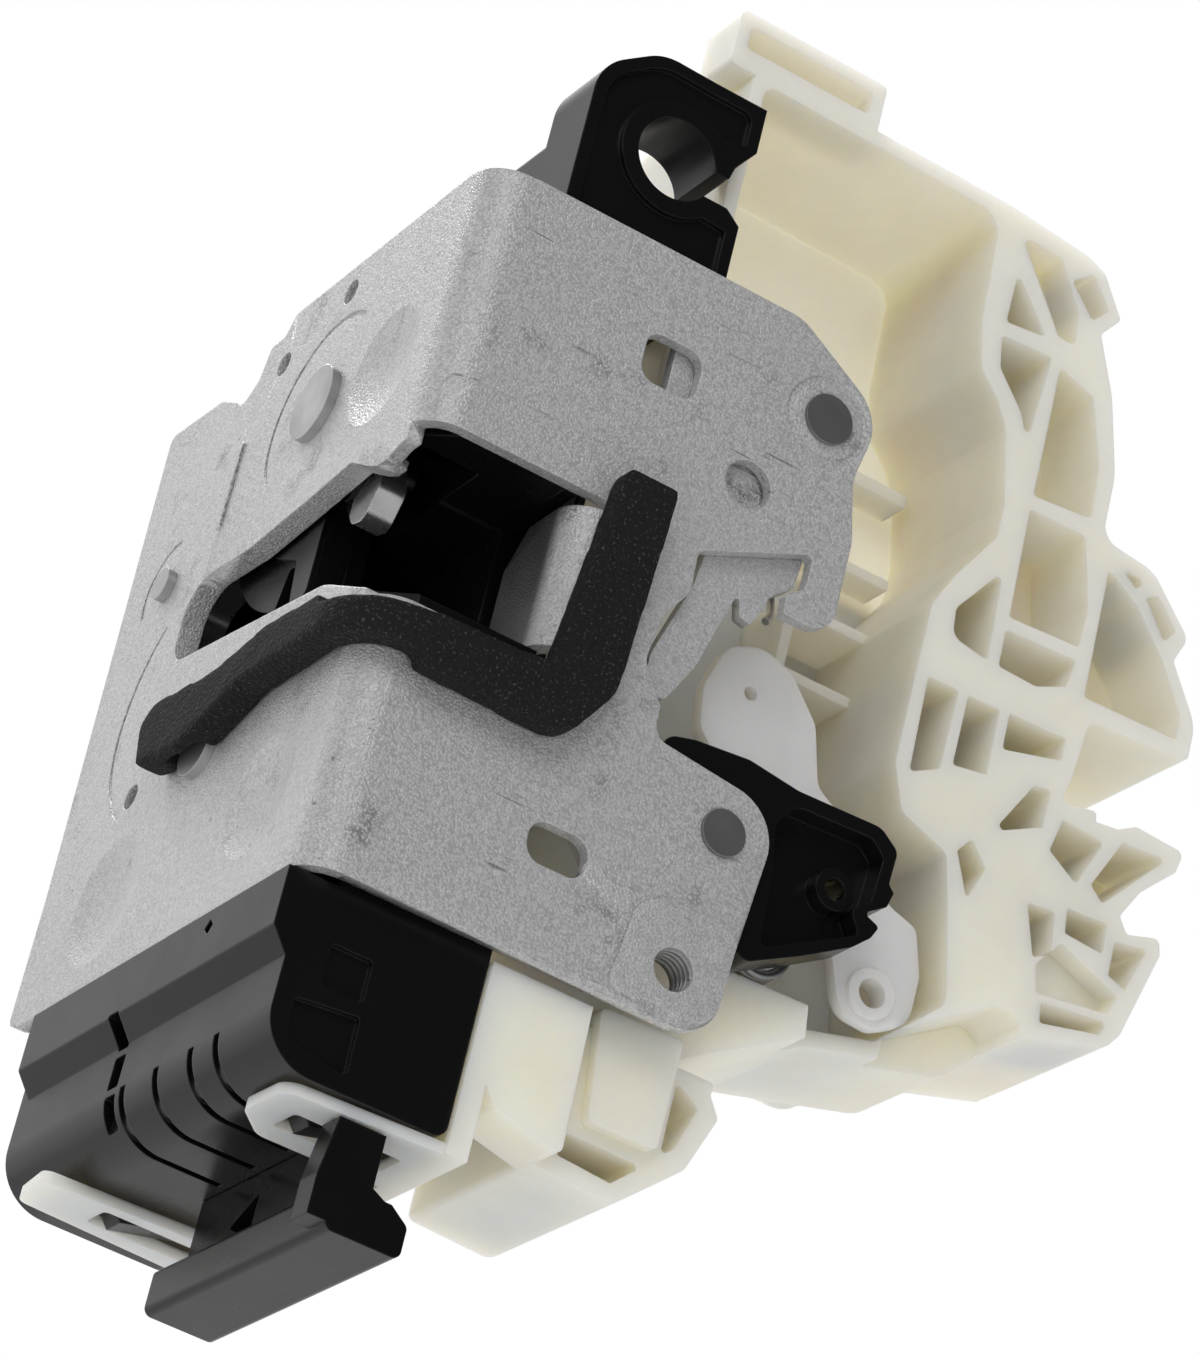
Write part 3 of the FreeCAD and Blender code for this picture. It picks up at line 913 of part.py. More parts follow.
cut(connector, "XZ", pin_root, socket_front, pin_holes, "pin_seats")
pin_start = d.connector_outer - d.socket_depth - 7.7
pins = [Part.makeBox(1.5, d.pin_length, 0.8, FreeCAD.Vector(x - 0.75, pin_start, z - 0.4)) for x, z in pin_places]
shape_part("terminal_pins", Part.makeCompound(pins))

# Guard bar that hangs under the connector
guard = new_body("guard_bar")
bar_top = d.guard_bottom + 6.5
add(guard, "XZ", "bar_front", "bar_rear", [[(17.0, d.guard_bottom, 1.2), (28.0, d.guard_bottom, 1.2),
                                            (28.0, bar_top - 2, 1),
                                            (25.2, bar_top), (17.0, bar_top, 1)]], "bar")
add(guard, "XZ", "21", "52", [box_loop(20.2, bar_top - 1, 25.2, d.connector_bottom - 0.1)], "stem")
add(guard, "XZ", "bar_front", "bar_front + 4.5", [[(14.3, d.guard_bottom + 1), (28.0, d.guard_bottom + 1), (28.0, bar_top - 3.6, 0.8),
                               (25.0, bar_top - 0.4), (22.2, bar_top + 1.0), (22.2, -85.3), (15.4, -85.3),
                               (14.3, bar_top)]], "end_plate")
cut(guard, "YZ", "19", "29", [[(34.0, -92.6, 0.4), (41.0, -89.6, 0.4), (34.0, -86.0, 0.4)]], "stem_window")

# Bracket that carries the connector below the actuator housing
bracket = new_body("carrier_bracket")
bracket_top = -57.7
add(bracket, "XZ", "carrier_front", "12", [[(d.carrier_side, bracket_top), (45, bracket_top), (45.5, -78.8, 1), (35, -76.5, 2),
                                           (d.carrier_side, -70, 1)]], "front_plate")
add(bracket, "XZ", "8", "40", [[(44, bracket_top), (67.6, bracket_top, 1), (67.2, -59.4, 1), (69.1, -62.2, 1),
                                (65.9, -70.8, 3), (57, -79.3, 3), (44, -78.7, 1)]], "rear_block")
add(bracket, "XZ", "6", "9.7", [[(49.9, -71, 1), (60.5, -70.8, 1), (60.7, -54.8, 1), (48, -55.2, 1)]],
    "front_block")
cut(bracket, "XZ", "8", "36", [[(62, -59.5, 0.6), (66, -62, 0.6), (63.8, -68.6, 0.6), (62, -70.4, 0.6)],
                               [(47.5, -76.2, 0.6), (56, -76.8, 0.6), (60, -72.8, 0.6), (47.5, -72.8, 0.6)]],
    "block_recess")
add(bracket, "YZ", "carrier_side", "carrier_side + 3.1",
    [box_loop(d.carrier_front, d.loop_low, 78, bracket_top)], "side_wall")
add(bracket, "XY", "loop_low", "loop_high", [[(7.4, 4.6, 3), (33, 2.7, 1), (33, 20.2, 1), (12, 20.6, 3),
                                            (7.2, 15.0, 2)]], "front_loop")
cut(bracket, "XY", "loop_low", "loop_high", [box_loop(12.0, 9.9, 27.6, 16.0, 0.8)], "front_loop_window")
add(bracket, "XY", "loop_low", "loop_high", [[(1.4, 62.0, 1.5), (33, 60.0), (33, 74.0), (2.4, 72.0, 2)]],
    "rear_loop")
cut(bracket, "XY", "loop_low", "loop_high", [box_loop(11.8, 63.6, 27.6, 69.4, 0.8)], "rear_loop_window")

# Every sub-part is checked, then written under its own label
doc.recompute()
for item in doc.Objects:
    faults = [word for word in item.State if word in ("Invalid", "Error")]
    if faults:
        raise RuntimeError("%s is %s" % (item.Label, faults))
for part in sub_parts:
    if part.Shape.isNull() or not part.Shape.isValid() or not part.Shape.Solids:
        raise RuntimeError("%s has no valid solid" % part.Label)
os.makedirs("parts", exist_ok=True)
for part in sub_parts:
    part.Shape.exportStep("parts/%s.step" % part.Label)
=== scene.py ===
import json
import math

import bmesh
import bpy
from mathutils import Matrix, Vector


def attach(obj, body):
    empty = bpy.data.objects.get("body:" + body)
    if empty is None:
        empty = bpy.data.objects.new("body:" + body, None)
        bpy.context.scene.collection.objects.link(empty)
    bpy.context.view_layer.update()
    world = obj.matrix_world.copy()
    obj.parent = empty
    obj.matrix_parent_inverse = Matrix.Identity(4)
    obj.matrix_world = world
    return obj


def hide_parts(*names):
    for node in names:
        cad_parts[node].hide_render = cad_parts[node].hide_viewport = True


# A vehicle door latch with its actuator, in metres, in the frame of the solids:
# X forward from the rear face, Y inward from the side face, Z up along the bend.
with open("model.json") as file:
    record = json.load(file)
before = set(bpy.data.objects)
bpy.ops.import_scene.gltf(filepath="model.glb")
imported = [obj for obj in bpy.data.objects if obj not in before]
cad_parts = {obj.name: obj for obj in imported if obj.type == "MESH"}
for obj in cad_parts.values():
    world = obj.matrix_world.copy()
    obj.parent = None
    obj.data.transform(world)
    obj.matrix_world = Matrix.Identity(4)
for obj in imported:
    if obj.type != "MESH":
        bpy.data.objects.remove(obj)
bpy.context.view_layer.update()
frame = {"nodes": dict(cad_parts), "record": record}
nodes = frame["nodes"]

MM = 0.001

# The view from behind, from outside and from below
LENS_MM = 149.34
SENSOR_MM = 36.0
CAMERA_PLACE = (-0.24142, -0.58990, -0.35350)
CAMERA_RIGHT = (0.8328, -0.5108, 0.2133)
CAMERA_FORWARD = (0.3748, 0.8040, 0.4616)
NEAREST = 0.01
FARTHEST = 50.0

# The pale floor far below, the white backdrop behind the part and the dim room in front of it
FLOOR_HEIGHT = -0.62
FLOOR_SIZE = 8.0
FLOOR_COLOUR = (0.9, 0.9, 0.9)
FLOOR_ROUGHNESS = 0.8
WHITE = (1.0, 1.0, 1.0)
BACKDROP_SEEN = 1.0
BACKDROP_LIGHT = 0.88
ROOM_LIGHT = 0.55
ROOM_SHEEN = 0.03
ROOM_SIDE = -0.1
BACKDROP_SIDE = 0.5

# The lamps face the middle of the part, and one of them grazes the rear face
PART_MIDDLE = (0.05, 0.02, 0.0)
REAR_FACE = (0.0, 0.04, 0.0)
LAMPS = {
    "key_light": {"place": (-0.5, -1.0, 0.75), "target": PART_MIDDLE, "size": 0.7, "power": 4.0},
    "low_light": {"place": (-0.7, -0.9, -0.9), "target": PART_MIDDLE, "size": 0.9, "power": 4.5},
    "edge_light": {"place": (-0.95, -0.45, 0.55), "target": PART_MIDDLE, "size": 0.5, "power": 0.4},
    "grazing_light": {"place": (-0.35, 0.9, 1.3), "target": REAR_FACE, "size": 0.4, "power": 9.0},
}

# The screw thread in the tapped hole
THREAD_PITCH = 1.0 * MM
THREAD_TURNS = 5
THREAD_STEPS = 32
THREAD_START = 0.3 * MM
THREAD_WIRE = 0.28 * MM
THREAD_SINK = 0.02 * MM

# The bent plate: its bend, the dished recesses in its rear face as Y, Z and radius, and their depth
BEND_RADIUS = 6.0 * MM
DISHES = ((18.6, 24.4, 9.0), (20.6, -41.2, 9.0), (65.0, -43.0, 9.8))
DISH_DEPTH = 1.6 * MM
DISH_STEPS = 12
DISH_SIDES = 64
# The pressed line above the slot, as X and Z on the side face
PRESSED_LINE = ((1.9, 10.8), (1.9, 15.6), (2.9, 17.2), (6.5, 17.5),
                (26.0, 17.5), (29.0, 17.2), (31.9, 15.6), (36.0, 12.6))
LINE_WIRE = 0.24 * MM
JOIN_DISTANCE = 0.001 * MM
SHARP_ANGLE = math.radians(30)

# The moulded shroud behind the striker lip, as an outline in X and Y
SHROUD_OUTLINE = ((25.1, 19.4), (26.9, 19.4), (26.9, 6.2), (28.3, 6.2), (28.3, 21.0), (25.1, 21.0))
SHROUD_BOTTOM = -13.0 * MM
SHROUD_TOP = 15.5 * MM
SHROUD_EDGE = 0.25 * MM
SHROUD_EDGE_STEPS = 2

# The end of the release spring's wire, behind the release lever, out below the plate's hook
SPRING_END = ((59.6, 9.2, 18.6), (59.6, 9.0, 14.0), (59.4, 7.4, 10.6), (58.9, 6.2, 8.8), (58.1, 5.5, 7.4))
SPRING_WIRE = 0.6 * MM

# The foam seal's soft edges and uneven skin
FOAM_VOXEL = 0.6 * MM
FOAM_SOFTENING = 0.5
FOAM_SMOOTHING = 10
FOAM_PATCH = 3.5 * MM
FOAM_UNEVEN = 0.25 * MM

# Where the plate's sheet belongs to the curled striker lip
LIP_START_X = 21.0 * MM
LIP_START_Y = 3.0 * MM
LIP_BLEND = 2.5 * MM

# How far in from the side face the claw's front prong is bare, and how softly the moulding starts
BARE_TIP_END = 27.0 * MM
BARE_TIP_BLEND = 0.5 * MM

# Zinc coated sheet: low and high spots of its skin, handled patches, scuffs, scratches and worn edges
ZINC_LOW = (0.46, 0.46, 0.465)
ZINC_HIGH = (0.74, 0.74, 0.745)
ZINC_HANDLED = (0.64, 0.64, 0.645)
ZINC_SCUFFED = (0.10, 0.10, 0.105)
ZINC_SCRATCHED = (0.20, 0.20, 0.205)
ZINC_WORN = (0.88, 0.88, 0.88)
ZINC_HANDLING = 0.4
ZINC_EDGE_WEAR = 0.6
ZINC_METALLIC = 0.35
ZINC_DULL = 0.45
ZINC_POLISHED = 0.36
LIP_DARK = (0.13, 0.13, 0.135)
LIP_LIGHT = (0.28, 0.28, 0.285)
LIP_METALLIC = 0.75

# Pebbles of the plated skin
PEBBLE_SOFTNESS = 0.6
PEBBLE_SHARE = 0.55
PEBBLE_UNEVEN_SHARE = 0.6

# How finely an edge is rounded, and how much coarser the coarse part of a grain is
EDGE_SAMPLES = 4
COARSE_SHARE = 0.31

# Scratches lie in two directions: the turn of each, in radians, and how far it is drawn out
SCRATCH_LAYS = ((0.6, 26.0), (2.1, 18.0))
SCRATCH_TILT = 0.7
SCRATCH_TWIST = 1.3
SCRATCH_FLATNESS = 0.9

# Bare and blued steel
STEEL_DARKER = 0.72
STEEL_BRIGHTER = 1.35
STEEL_BRIGHTEST = 0.9
STEEL_METALLIC = 0.9
STEEL_GLOSS_SPREAD = 0.08
CLAW_TIP_COLOUR = (0.66, 0.66, 0.67)
CLAW_MOULDING = (0.006, 0.006, 0.0065)
CLAW_SHINE = 0.15

# Moulded plastic
PLASTIC_UNEVEN = 0.93
PLASTIC_EDGE_LIFT = 0.004
PLASTIC_LIGHTEST = 0.95
PLASTIC_EDGE_SHARE = 0.5
PLASTIC_GLOSS_SPREAD = 0.07
BLACK_SHINE = 0.34
PALE_SHINE = 0.5
PALE_GLOW_REACH = (0.011, 0.009, 0.006)

# Closed cell foam
FOAM_CELLS = 1700.0
FOAM_BLACK = (0.009, 0.009, 0.010)
FOAM_SPECK = (0.07, 0.07, 0.072)
FOAM_EDGE = (0.03, 0.03, 0.03)
FOAM_EDGE_SHARE = 0.3
FOAM_ROUGHNESS = 0.85
FOAM_SHINE = 0.3


def add_object(name, data):
    piece = bpy.data.objects.new(name, data)
    bpy.context.collection.objects.link(piece)
    return piece


def place_camera():
    """The view from behind, from outside and from below."""
    data = bpy.data.cameras.new("view_camera")
    data.sensor_fit = "VERTICAL"
    data.sensor_height = SENSOR_MM
    data.lens = LENS_MM
    data.clip_start = NEAREST
    data.clip_end = FARTHEST
    camera = add_object("view_camera", data)
    right = Vector(CAMERA_RIGHT).normalized()
    back = -Vector(CAMERA_FORWARD).normalized()
    up = back.cross(right).normalized()
    turn = Matrix((right, up, back)).transposed().to_4x4()
    camera.matrix_world = Matrix.Translation(CAMERA_PLACE) @ turn
    bpy.context.scene.camera = camera
    bpy.context.scene.view_settings.view_transform = "Standard"


# Steps that the finishes are made of

def feed(tree, socket, source):
    """Give a socket a plain number or colour, or the outcome of another step."""
    if isinstance(source, (int, float)):
        socket.default_value = source
    elif isinstance(source, tuple):
        socket.default_value = (*source, 1.0)
    else:
        tree.links.new(source, socket)


def object_place(tree):
    """The place on the piece itself, which moves with it."""
    return tree.nodes.new("ShaderNodeTexCoord").outputs["Object"]


def split_place(tree, place):
    """A place or direction as its X, Y and Z."""
    split = tree.nodes.new("ShaderNodeSeparateXYZ")
    tree.links.new(place, split.inputs[0])
    return split.outputs


def math_node(tree, operation, first, second):
    node = tree.nodes.new("ShaderNodeMath")
    node.operation = operation
    feed(tree, node.inputs[0], first)
    feed(tree, node.inputs[1], second)
    return node.outputs[0]


def noise_node(tree, place, scale, detail, roughness=0.5):
    node = tree.nodes.new("ShaderNodeTexNoise")
    tree.links.new(place, node.inputs["Vector"])
    for label, value in (("Scale", scale), ("Detail", detail), ("Roughness", roughness)):
        feed(tree, node.inputs[label], value)
    return node.outputs["Fac"]


def ramp(tree, value, low, high, low_out=0.0, high_out=1.0):
    """A straight ramp from one value to another."""
    node = tree.nodes.new("ShaderNodeMapRange")
    node.clamp = True
    tree.links.new(value, node.inputs["Value"])
    for label, number in (("From Min", low), ("From Max", high), ("To Min", low_out), ("To Max", high_out)):
        feed(tree, node.inputs[label], number)
    return node.outputs["Result"]


def between(tree, mask, first, last):
    """A number that goes from the first to the last as the mask goes from nought to one."""
    return ramp(tree, mask, 0.0, 1.0, low_out=first, high_out=last)


def mix_colours(tree, share, first, second):
    node = tree.nodes.new("ShaderNodeMix")
    node.data_type = "RGBA"
    for label, value in (("Factor", share), ("A", first), ("B", second)):
        feed(tree, node.inputs[label], value)
    return node.outputs["Result"]


# Effects that several finishes share

def new_group(name, numbers, values, normals=()):
    """An empty effect: named numbers go in, values and normals come out."""
    group = bpy.data.node_groups.new(name, "ShaderNodeTree")
    for label, default in numbers.items():
        socket = group.interface.new_socket(name=label, in_out="INPUT", socket_type="NodeSocketFloat")
        socket.default_value = default
    for label in values:
        group.interface.new_socket(name=label, in_out="OUTPUT", socket_type="NodeSocketFloat")
    for label in normals:
        group.interface.new_socket(name=label, in_out="OUTPUT", socket_type="NodeSocketVector")
    start = group.nodes.new("NodeGroupInput")
    end = group.nodes.new("NodeGroupOutput")
    return group, start.outputs, end.inputs


def make_grain_group():
    """Fine pebbled grain, as a height."""
    group, start, end = new_group("surface_grain", {"Scale": 900.0, "Coarse": 0.4}, ["Height"])
    place = object_place(group)
    fine = noise_node(group, place, start["Scale"], detail=3.0, roughness=0.6)
    coarse_scale = math_node(group, "MULTIPLY", start["Scale"], COARSE_SHARE)
    coarse = noise_node(group, place, coarse_scale, detail=2.0)
    weighted = math_node(group, "MULTIPLY", coarse, start["Coarse"])
    group.links.new(math_node(group, "ADD", fine, weighted), end["Height"])
    return group


def make_pebble_group():
    """Rounded pebbles of a plated skin, close together and uneven, as a height."""
    group, start, end = new_group("pebbles", {"Scale": 2000.0}, ["Height"])
    place = object_place(group)
    cells = group.nodes.new("ShaderNodeTexVoronoi")
    cells.feature = "SMOOTH_F1"
    cells.inputs["Smoothness"].default_value = PEBBLE_SOFTNESS
    group.links.new(place, cells.inputs["Vector"])
    group.links.new(start["Scale"], cells.inputs["Scale"])
    bumps = ramp(group, cells.outputs["Distance"], low=0.75, high=0.10)
    uneven = noise_node(group, place, scale=900.0, detail=3.0, roughness=0.6)
    raised = math_node(group, "MULTIPLY", bumps, PEBBLE_SHARE)
    rolling = math_node(group, "MULTIPLY", uneven, PEBBLE_UNEVEN_SHARE)
    group.links.new(math_node(group, "ADD", raised, rolling), end["Height"])
    return group


def make_smudge_group():
    """Soft uneven patches, for handling marks and uneven gloss, as a mask."""
    group, start, end = new_group("smudges", {"Scale": 60.0, "Low": 0.35, "High": 0.7}, ["Mask"])
    cloud = noise_node(group, object_place(group), start["Scale"], detail=4.0, roughness=0.55)
    group.links.new(ramp(group, cloud, start["Low"], start["High"]), end["Mask"])
    return group


def scratch_lay(group, place, scale, turn, stretch):
    """Thin lines that lie in one direction."""
    mapping = group.nodes.new("ShaderNodeMapping")
    mapping.inputs["Rotation"].default_value = (turn, turn * SCRATCH_TILT, turn * SCRATCH_TWIST)
    mapping.inputs["Scale"].default_value = (1.0, stretch, stretch * SCRATCH_FLATNESS)
    group.links.new(place, mapping.inputs["Vector"])
    streak = noise_node(group, mapping.outputs["Vector"], scale, detail=1.0)
    return ramp(group, streak, low=0.70, high=0.74)


def make_scratch_group():
    """Thin broken scratches in two directions, as a mask."""
    group, start, end = new_group("scratches", {"Scale": 70.0, "Amount": 0.5}, ["Mask"])
    place = object_place(group)
    lays = [scratch_lay(group, place, start["Scale"], turn, stretch) for turn, stretch in SCRATCH_LAYS]
    both = math_node(group, "MAXIMUM", *lays)
    gaps = ramp(group, noise_node(group, place, scale=130.0, detail=2.0), low=0.52, high=0.62)
    broken = math_node(group, "MULTIPLY", both, gaps)
    group.links.new(math_node(group, "MULTIPLY", broken, start["Amount"]), end["Mask"])
    return group


def make_edge_group():
    """Where an edge is near, as a mask, and a normal that rounds the edge over."""
    group, start, end = new_group("rounded_edges", {"Radius": 0.4 * MM}, ["Mask"], ["Normal"])
    bevel = group.nodes.new("ShaderNodeBevel")
    bevel.samples = EDGE_SAMPLES
    group.links.new(start["Radius"], bevel.inputs["Radius"])
    flat_normal = group.nodes.new("ShaderNodeNewGeometry").outputs["Normal"]
    dot = group.nodes.new("ShaderNodeVectorMath")
    dot.operation = "DOT_PRODUCT"
    group.links.new(bevel.outputs["Normal"], dot.inputs[0])
    group.links.new(flat_normal, dot.inputs[1])
    group.links.new(ramp(group, dot.outputs["Value"], low=0.98, high=0.80), end["Mask"])
    group.links.new(bevel.outputs["Normal"], end["Normal"])
    return group


GRAIN = make_grain_group()
PEBBLES = make_pebble_group()
SMUDGES = make_smudge_group()
SCRATCHES = make_scratch_group()
EDGES = make_edge_group()


def use_group(tree, group, **numbers):
    node = tree.nodes.new("ShaderNodeGroup")
    node.node_tree = group
    for label, value in numbers.items():
        node.inputs[label.title()].default_value = value
    return node.outputs


# Finishes

def new_material(name):
    material = bpy.data.materials.new(name)
    material.use_nodes = True
    tree = material.node_tree
    shader = tree.nodes["Principled BSDF"].inputs
    return material, tree, shader


def grain_bump(tree, shader, height, strength, distance, edge_radius):
    """Bump from a height, laid over normals that round the edges; gives the edge mask back."""
    edges = use_group(tree, EDGES, radius=edge_radius)
    bump = tree.nodes.new("ShaderNodeBump")
    bump.inputs["Strength"].default_value = strength
    bump.inputs["Distance"].default_value = distance
    tree.links.new(height, bump.inputs["Height"])
    tree.links.new(edges["Normal"], bump.inputs["Normal"])
    tree.links.new(bump.outputs["Normal"], shader["Normal"])
    return edges["Mask"]


def lip_mask(tree):
    """The curled lip, which the striker rubs to bare steel, as a mask from the place on the plate."""
    place = split_place(tree, object_place(tree))
    far = ramp(tree, place["X"], LIP_START_X, LIP_START_X + LIP_BLEND)
    deep = ramp(tree, place["Y"], LIP_START_Y, LIP_START_Y + LIP_BLEND)
    return math_node(tree, "MULTIPLY", far, deep)


def zinc_colour(tree, grain, smudge, edge, scuff_amount):
    """Light grey skin with darker hollows, handled patches, dark scuffs, scratches and worn edges."""
    scratch = use_group(tree, SCRATCHES, scale=60.0, amount=0.8)["Mask"]
    colour = mix_colours(tree, ramp(tree, grain, low=0.30, high=0.90), ZINC_LOW, ZINC_HIGH)
    colour = mix_colours(tree, math_node(tree, "MULTIPLY", smudge, ZINC_HANDLING), colour, ZINC_HANDLED)
    patches = use_group(tree, SMUDGES, scale=95.0, low=0.60, high=0.70)["Mask"]
    scuff = math_node(tree, "MULTIPLY", patches, ramp(tree, grain, low=0.75, high=0.45))
    colour = mix_colours(tree, math_node(tree, "MULTIPLY", scuff, scuff_amount), colour, ZINC_SCUFFED)
    colour = mix_colours(tree, scratch, colour, ZINC_SCRATCHED)
    return mix_colours(tree, math_node(tree, "MULTIPLY", edge, ZINC_EDGE_WEAR), colour, ZINC_WORN)


def plated_steel(name, scuff_amount):
    """Zinc coated sheet with a fine pebble, and streaked bare steel on the curled lip."""
    material, tree, shader = new_material(name)
    grain = use_group(tree, PEBBLES, scale=2900.0)["Height"]
    edge = grain_bump(tree, shader, grain, strength=0.55, distance=0.3 * MM, edge_radius=0.35 * MM)
    smudge = use_group(tree, SMUDGES, scale=45.0, low=0.4, high=0.75)["Mask"]
    skin = zinc_colour(tree, grain, smudge, edge, scuff_amount)
    lip = lip_mask(tree)
    streaks = mix_colours(tree, smudge, LIP_DARK, LIP_LIGHT)
    tree.links.new(mix_colours(tree, lip, skin, streaks), shader["Base Color"])
    tree.links.new(between(tree, lip, ZINC_METALLIC, LIP_METALLIC), shader["Metallic"])
    tree.links.new(between(tree, smudge, ZINC_DULL, ZINC_POLISHED), shader["Roughness"])
    return material


def plain_steel(name, colour, roughness, scratch_amount):
    """Bare or blued steel with fine scratches and brighter edges."""
    material, tree, shader = new_material(name)
    grain = use_group(tree, GRAIN, scale=2600.0, coarse=0.3)["Height"]
    edge = grain_bump(tree, shader, grain, strength=0.12, distance=0.2 * MM, edge_radius=0.2 * MM)
    scratch = use_group(tree, SCRATCHES, scale=110.0, amount=scratch_amount)["Mask"]
    smudge = use_group(tree, SMUDGES, scale=120.0, low=0.35, high=0.7)["Mask"]
    dark = tuple(STEEL_DARKER * part for part in colour)
    bright = tuple(min(STEEL_BRIGHTEST, STEEL_BRIGHTER * part) for part in colour)
    shade = mix_colours(tree, smudge, dark, colour)
    shade = mix_colours(tree, scratch, shade, bright)
    tree.links.new(mix_colours(tree, edge, shade, bright), shader["Base Color"])
    shader["Metallic"].default_value = STEEL_METALLIC
    tree.links.new(between(tree, smudge, roughness + STEEL_GLOSS_SPREAD, roughness), shader["Roughness"])
    return material


def claw_steel():
    """Bright steel where the claw's front prong is bare, black moulding over the rest."""
    material = plain_steel("claw_steel", CLAW_TIP_COLOUR, roughness=0.22, scratch_amount=0.6)
    tree = material.node_tree
    shader = tree.nodes["Principled BSDF"].inputs
    place = split_place(tree, object_place(tree))
    covered = ramp(tree, place["Y"], BARE_TIP_END, BARE_TIP_END + BARE_TIP_BLEND)
    steel = shader["Base Color"].links[0].from_socket
    tree.links.new(mix_colours(tree, covered, steel, CLAW_MOULDING), shader["Base Color"])
    tree.links.new(between(tree, covered, STEEL_METALLIC, 0.0), shader["Metallic"])
    shader["Specular IOR Level"].default_value = CLAW_SHINE
    return material


def moulded_plastic(name, colour, roughness, grain_scale, grain_strength, edge_gain, glow=0.0):
    """Moulded plastic with a fine grain, uneven gloss and lighter edges; pale ones let light in."""
    material, tree, shader = new_material(name)
    shader["Specular IOR Level"].default_value = PALE_SHINE if glow else BLACK_SHINE
    grain = use_group(tree, GRAIN, scale=grain_scale, coarse=0.4)["Height"]
    edge = grain_bump(tree, shader, grain, grain_strength, distance=0.2 * MM, edge_radius=0.3 * MM)
    smudge = use_group(tree, SMUDGES, scale=70.0, low=0.35, high=0.7)["Mask"]
    light = tuple(min(PLASTIC_LIGHTEST, edge_gain * part + PLASTIC_EDGE_LIFT) for part in colour)
    uneven = tuple(PLASTIC_UNEVEN * part for part in colour)
    shade = mix_colours(tree, smudge, colour, uneven)
    shade = mix_colours(tree, math_node(tree, "MULTIPLY", edge, PLASTIC_EDGE_SHARE), shade, light)
    tree.links.new(shade, shader["Base Color"])
    tree.links.new(between(tree, smudge, roughness, roughness + PLASTIC_GLOSS_SPREAD), shader["Roughness"])
    if glow:
        shader["Subsurface Weight"].default_value = glow
        shader["Subsurface Radius"].default_value = PALE_GLOW_REACH
        shader["Subsurface Scale"].default_value = 1.0
    return material


def foam_rubber():
    """Closed cell foam: near black, with pale specks and open cells."""
    material, tree, shader = new_material("foam")
    place = object_place(tree)
    cells = tree.nodes.new("ShaderNodeTexVoronoi")
    cells.inputs["Scale"].default_value = FOAM_CELLS
    tree.links.new(place, cells.inputs["Vector"])
    edge = grain_bump(tree, shader, cells.outputs["Distance"], strength=0.6, distance=0.4 * MM,
                      edge_radius=0.6 * MM)
    speck = ramp(tree, noise_node(tree, place, scale=2400.0, detail=2.0), low=0.60, high=0.72)
    colour = mix_colours(tree, speck, FOAM_BLACK, FOAM_SPECK)
    colour = mix_colours(tree, math_node(tree, "MULTIPLY", edge, FOAM_EDGE_SHARE), colour, FOAM_EDGE)
    tree.links.new(colour, shader["Base Color"])
    shader["Roughness"].default_value = FOAM_ROUGHNESS
    shader["Specular IOR Level"].default_value = FOAM_SHINE
    return material


# Finishes by the name of the slot that each piece carries
MATERIALS = {
    "plated_steel": plated_steel("plated_steel", scuff_amount=0.5),
    "rivet_steel": plain_steel("rivet_steel", (0.55, 0.55, 0.55), roughness=0.42, scratch_amount=0.5),
    "bright_steel": plain_steel("bright_steel", (0.60, 0.60, 0.60), roughness=0.25, scratch_amount=0.6),
    "spring_steel": plain_steel("spring_steel", (0.30, 0.30, 0.31), roughness=0.30, scratch_amount=0.2),
    "black_plastic": moulded_plastic("black_plastic", (0.005, 0.005, 0.0055), roughness=0.26,
                                     grain_scale=1300.0, grain_strength=0.06, edge_gain=2.2),
    "black_cover": moulded_plastic("black_cover", (0.004, 0.004, 0.0045), roughness=0.30,
                                   grain_scale=1100.0, grain_strength=0.05, edge_gain=2.0),
    "ivory_plastic": moulded_plastic("ivory_plastic", (0.95, 0.90, 0.765), roughness=0.45,
                                     grain_scale=700.0, grain_strength=0.05, edge_gain=1.03, glow=0.75),
    "pale_plastic": moulded_plastic("pale_plastic", (0.93, 0.90, 0.85), roughness=0.30,
                                    grain_scale=700.0, grain_strength=0.04, edge_gain=1.02, glow=0.6),
    "foam": foam_rubber(),
    "bumper_rubber": moulded_plastic("bumper_rubber", (0.03, 0.03, 0.03), roughness=0.6,
                                     grain_scale=900.0, grain_strength=0.15, edge_gain=1.3),
    "copper_alloy": plain_steel("copper_alloy", (0.66, 0.50, 0.26), roughness=0.28, scratch_amount=0.3),
}

# Pieces whose finish differs from the others in their slot, the lever pins' by painted shade
# Painted shade: the lever pins on the side face get a darker copy of the rivet steel, for the dim room that
# the side face looks into
PAINTED_SHADE_PIN_STEEL = plain_steel("painted_shade_pin_steel", (0.34, 0.34, 0.345), roughness=0.5, scratch_amount=0.4)
OWN_FINISHES = {
    "release_lever_pin": PAINTED_SHADE_PIN_STEEL,
    "handle_lever_pin": PAINTED_SHADE_PIN_STEEL,
    "release_lever": plated_steel("scuffed_steel", scuff_amount=1.0),
    "claw": claw_steel(),
}


def dress(piece, finish):
    piece.data.materials.clear()
    piece.data.materials.append(finish)


def dress_nodes():
    for entry in frame["record"]["subparts"]:
        name = entry["node"]
        dress(nodes[name], OWN_FINISHES.get(name, MATERIALS[entry["material_slot"]]))


# Forms that the pieces are made of

def tube(name, points, radius, roundness=3, closed_ends=True):
    """A round wire through points."""
    path = bpy.data.curves.new(name, "CURVE")
    path.dimensions = "3D"
    path.bevel_depth = radius
    path.bevel_resolution = roundness
    path.use_fill_caps = closed_ends
    line = path.splines.new("POLY")
    line.points.add(len(points) - 1)
    for target, point in zip(line.points, points):
        target.co = (*point, 1.0)
    return add_object(name, path)


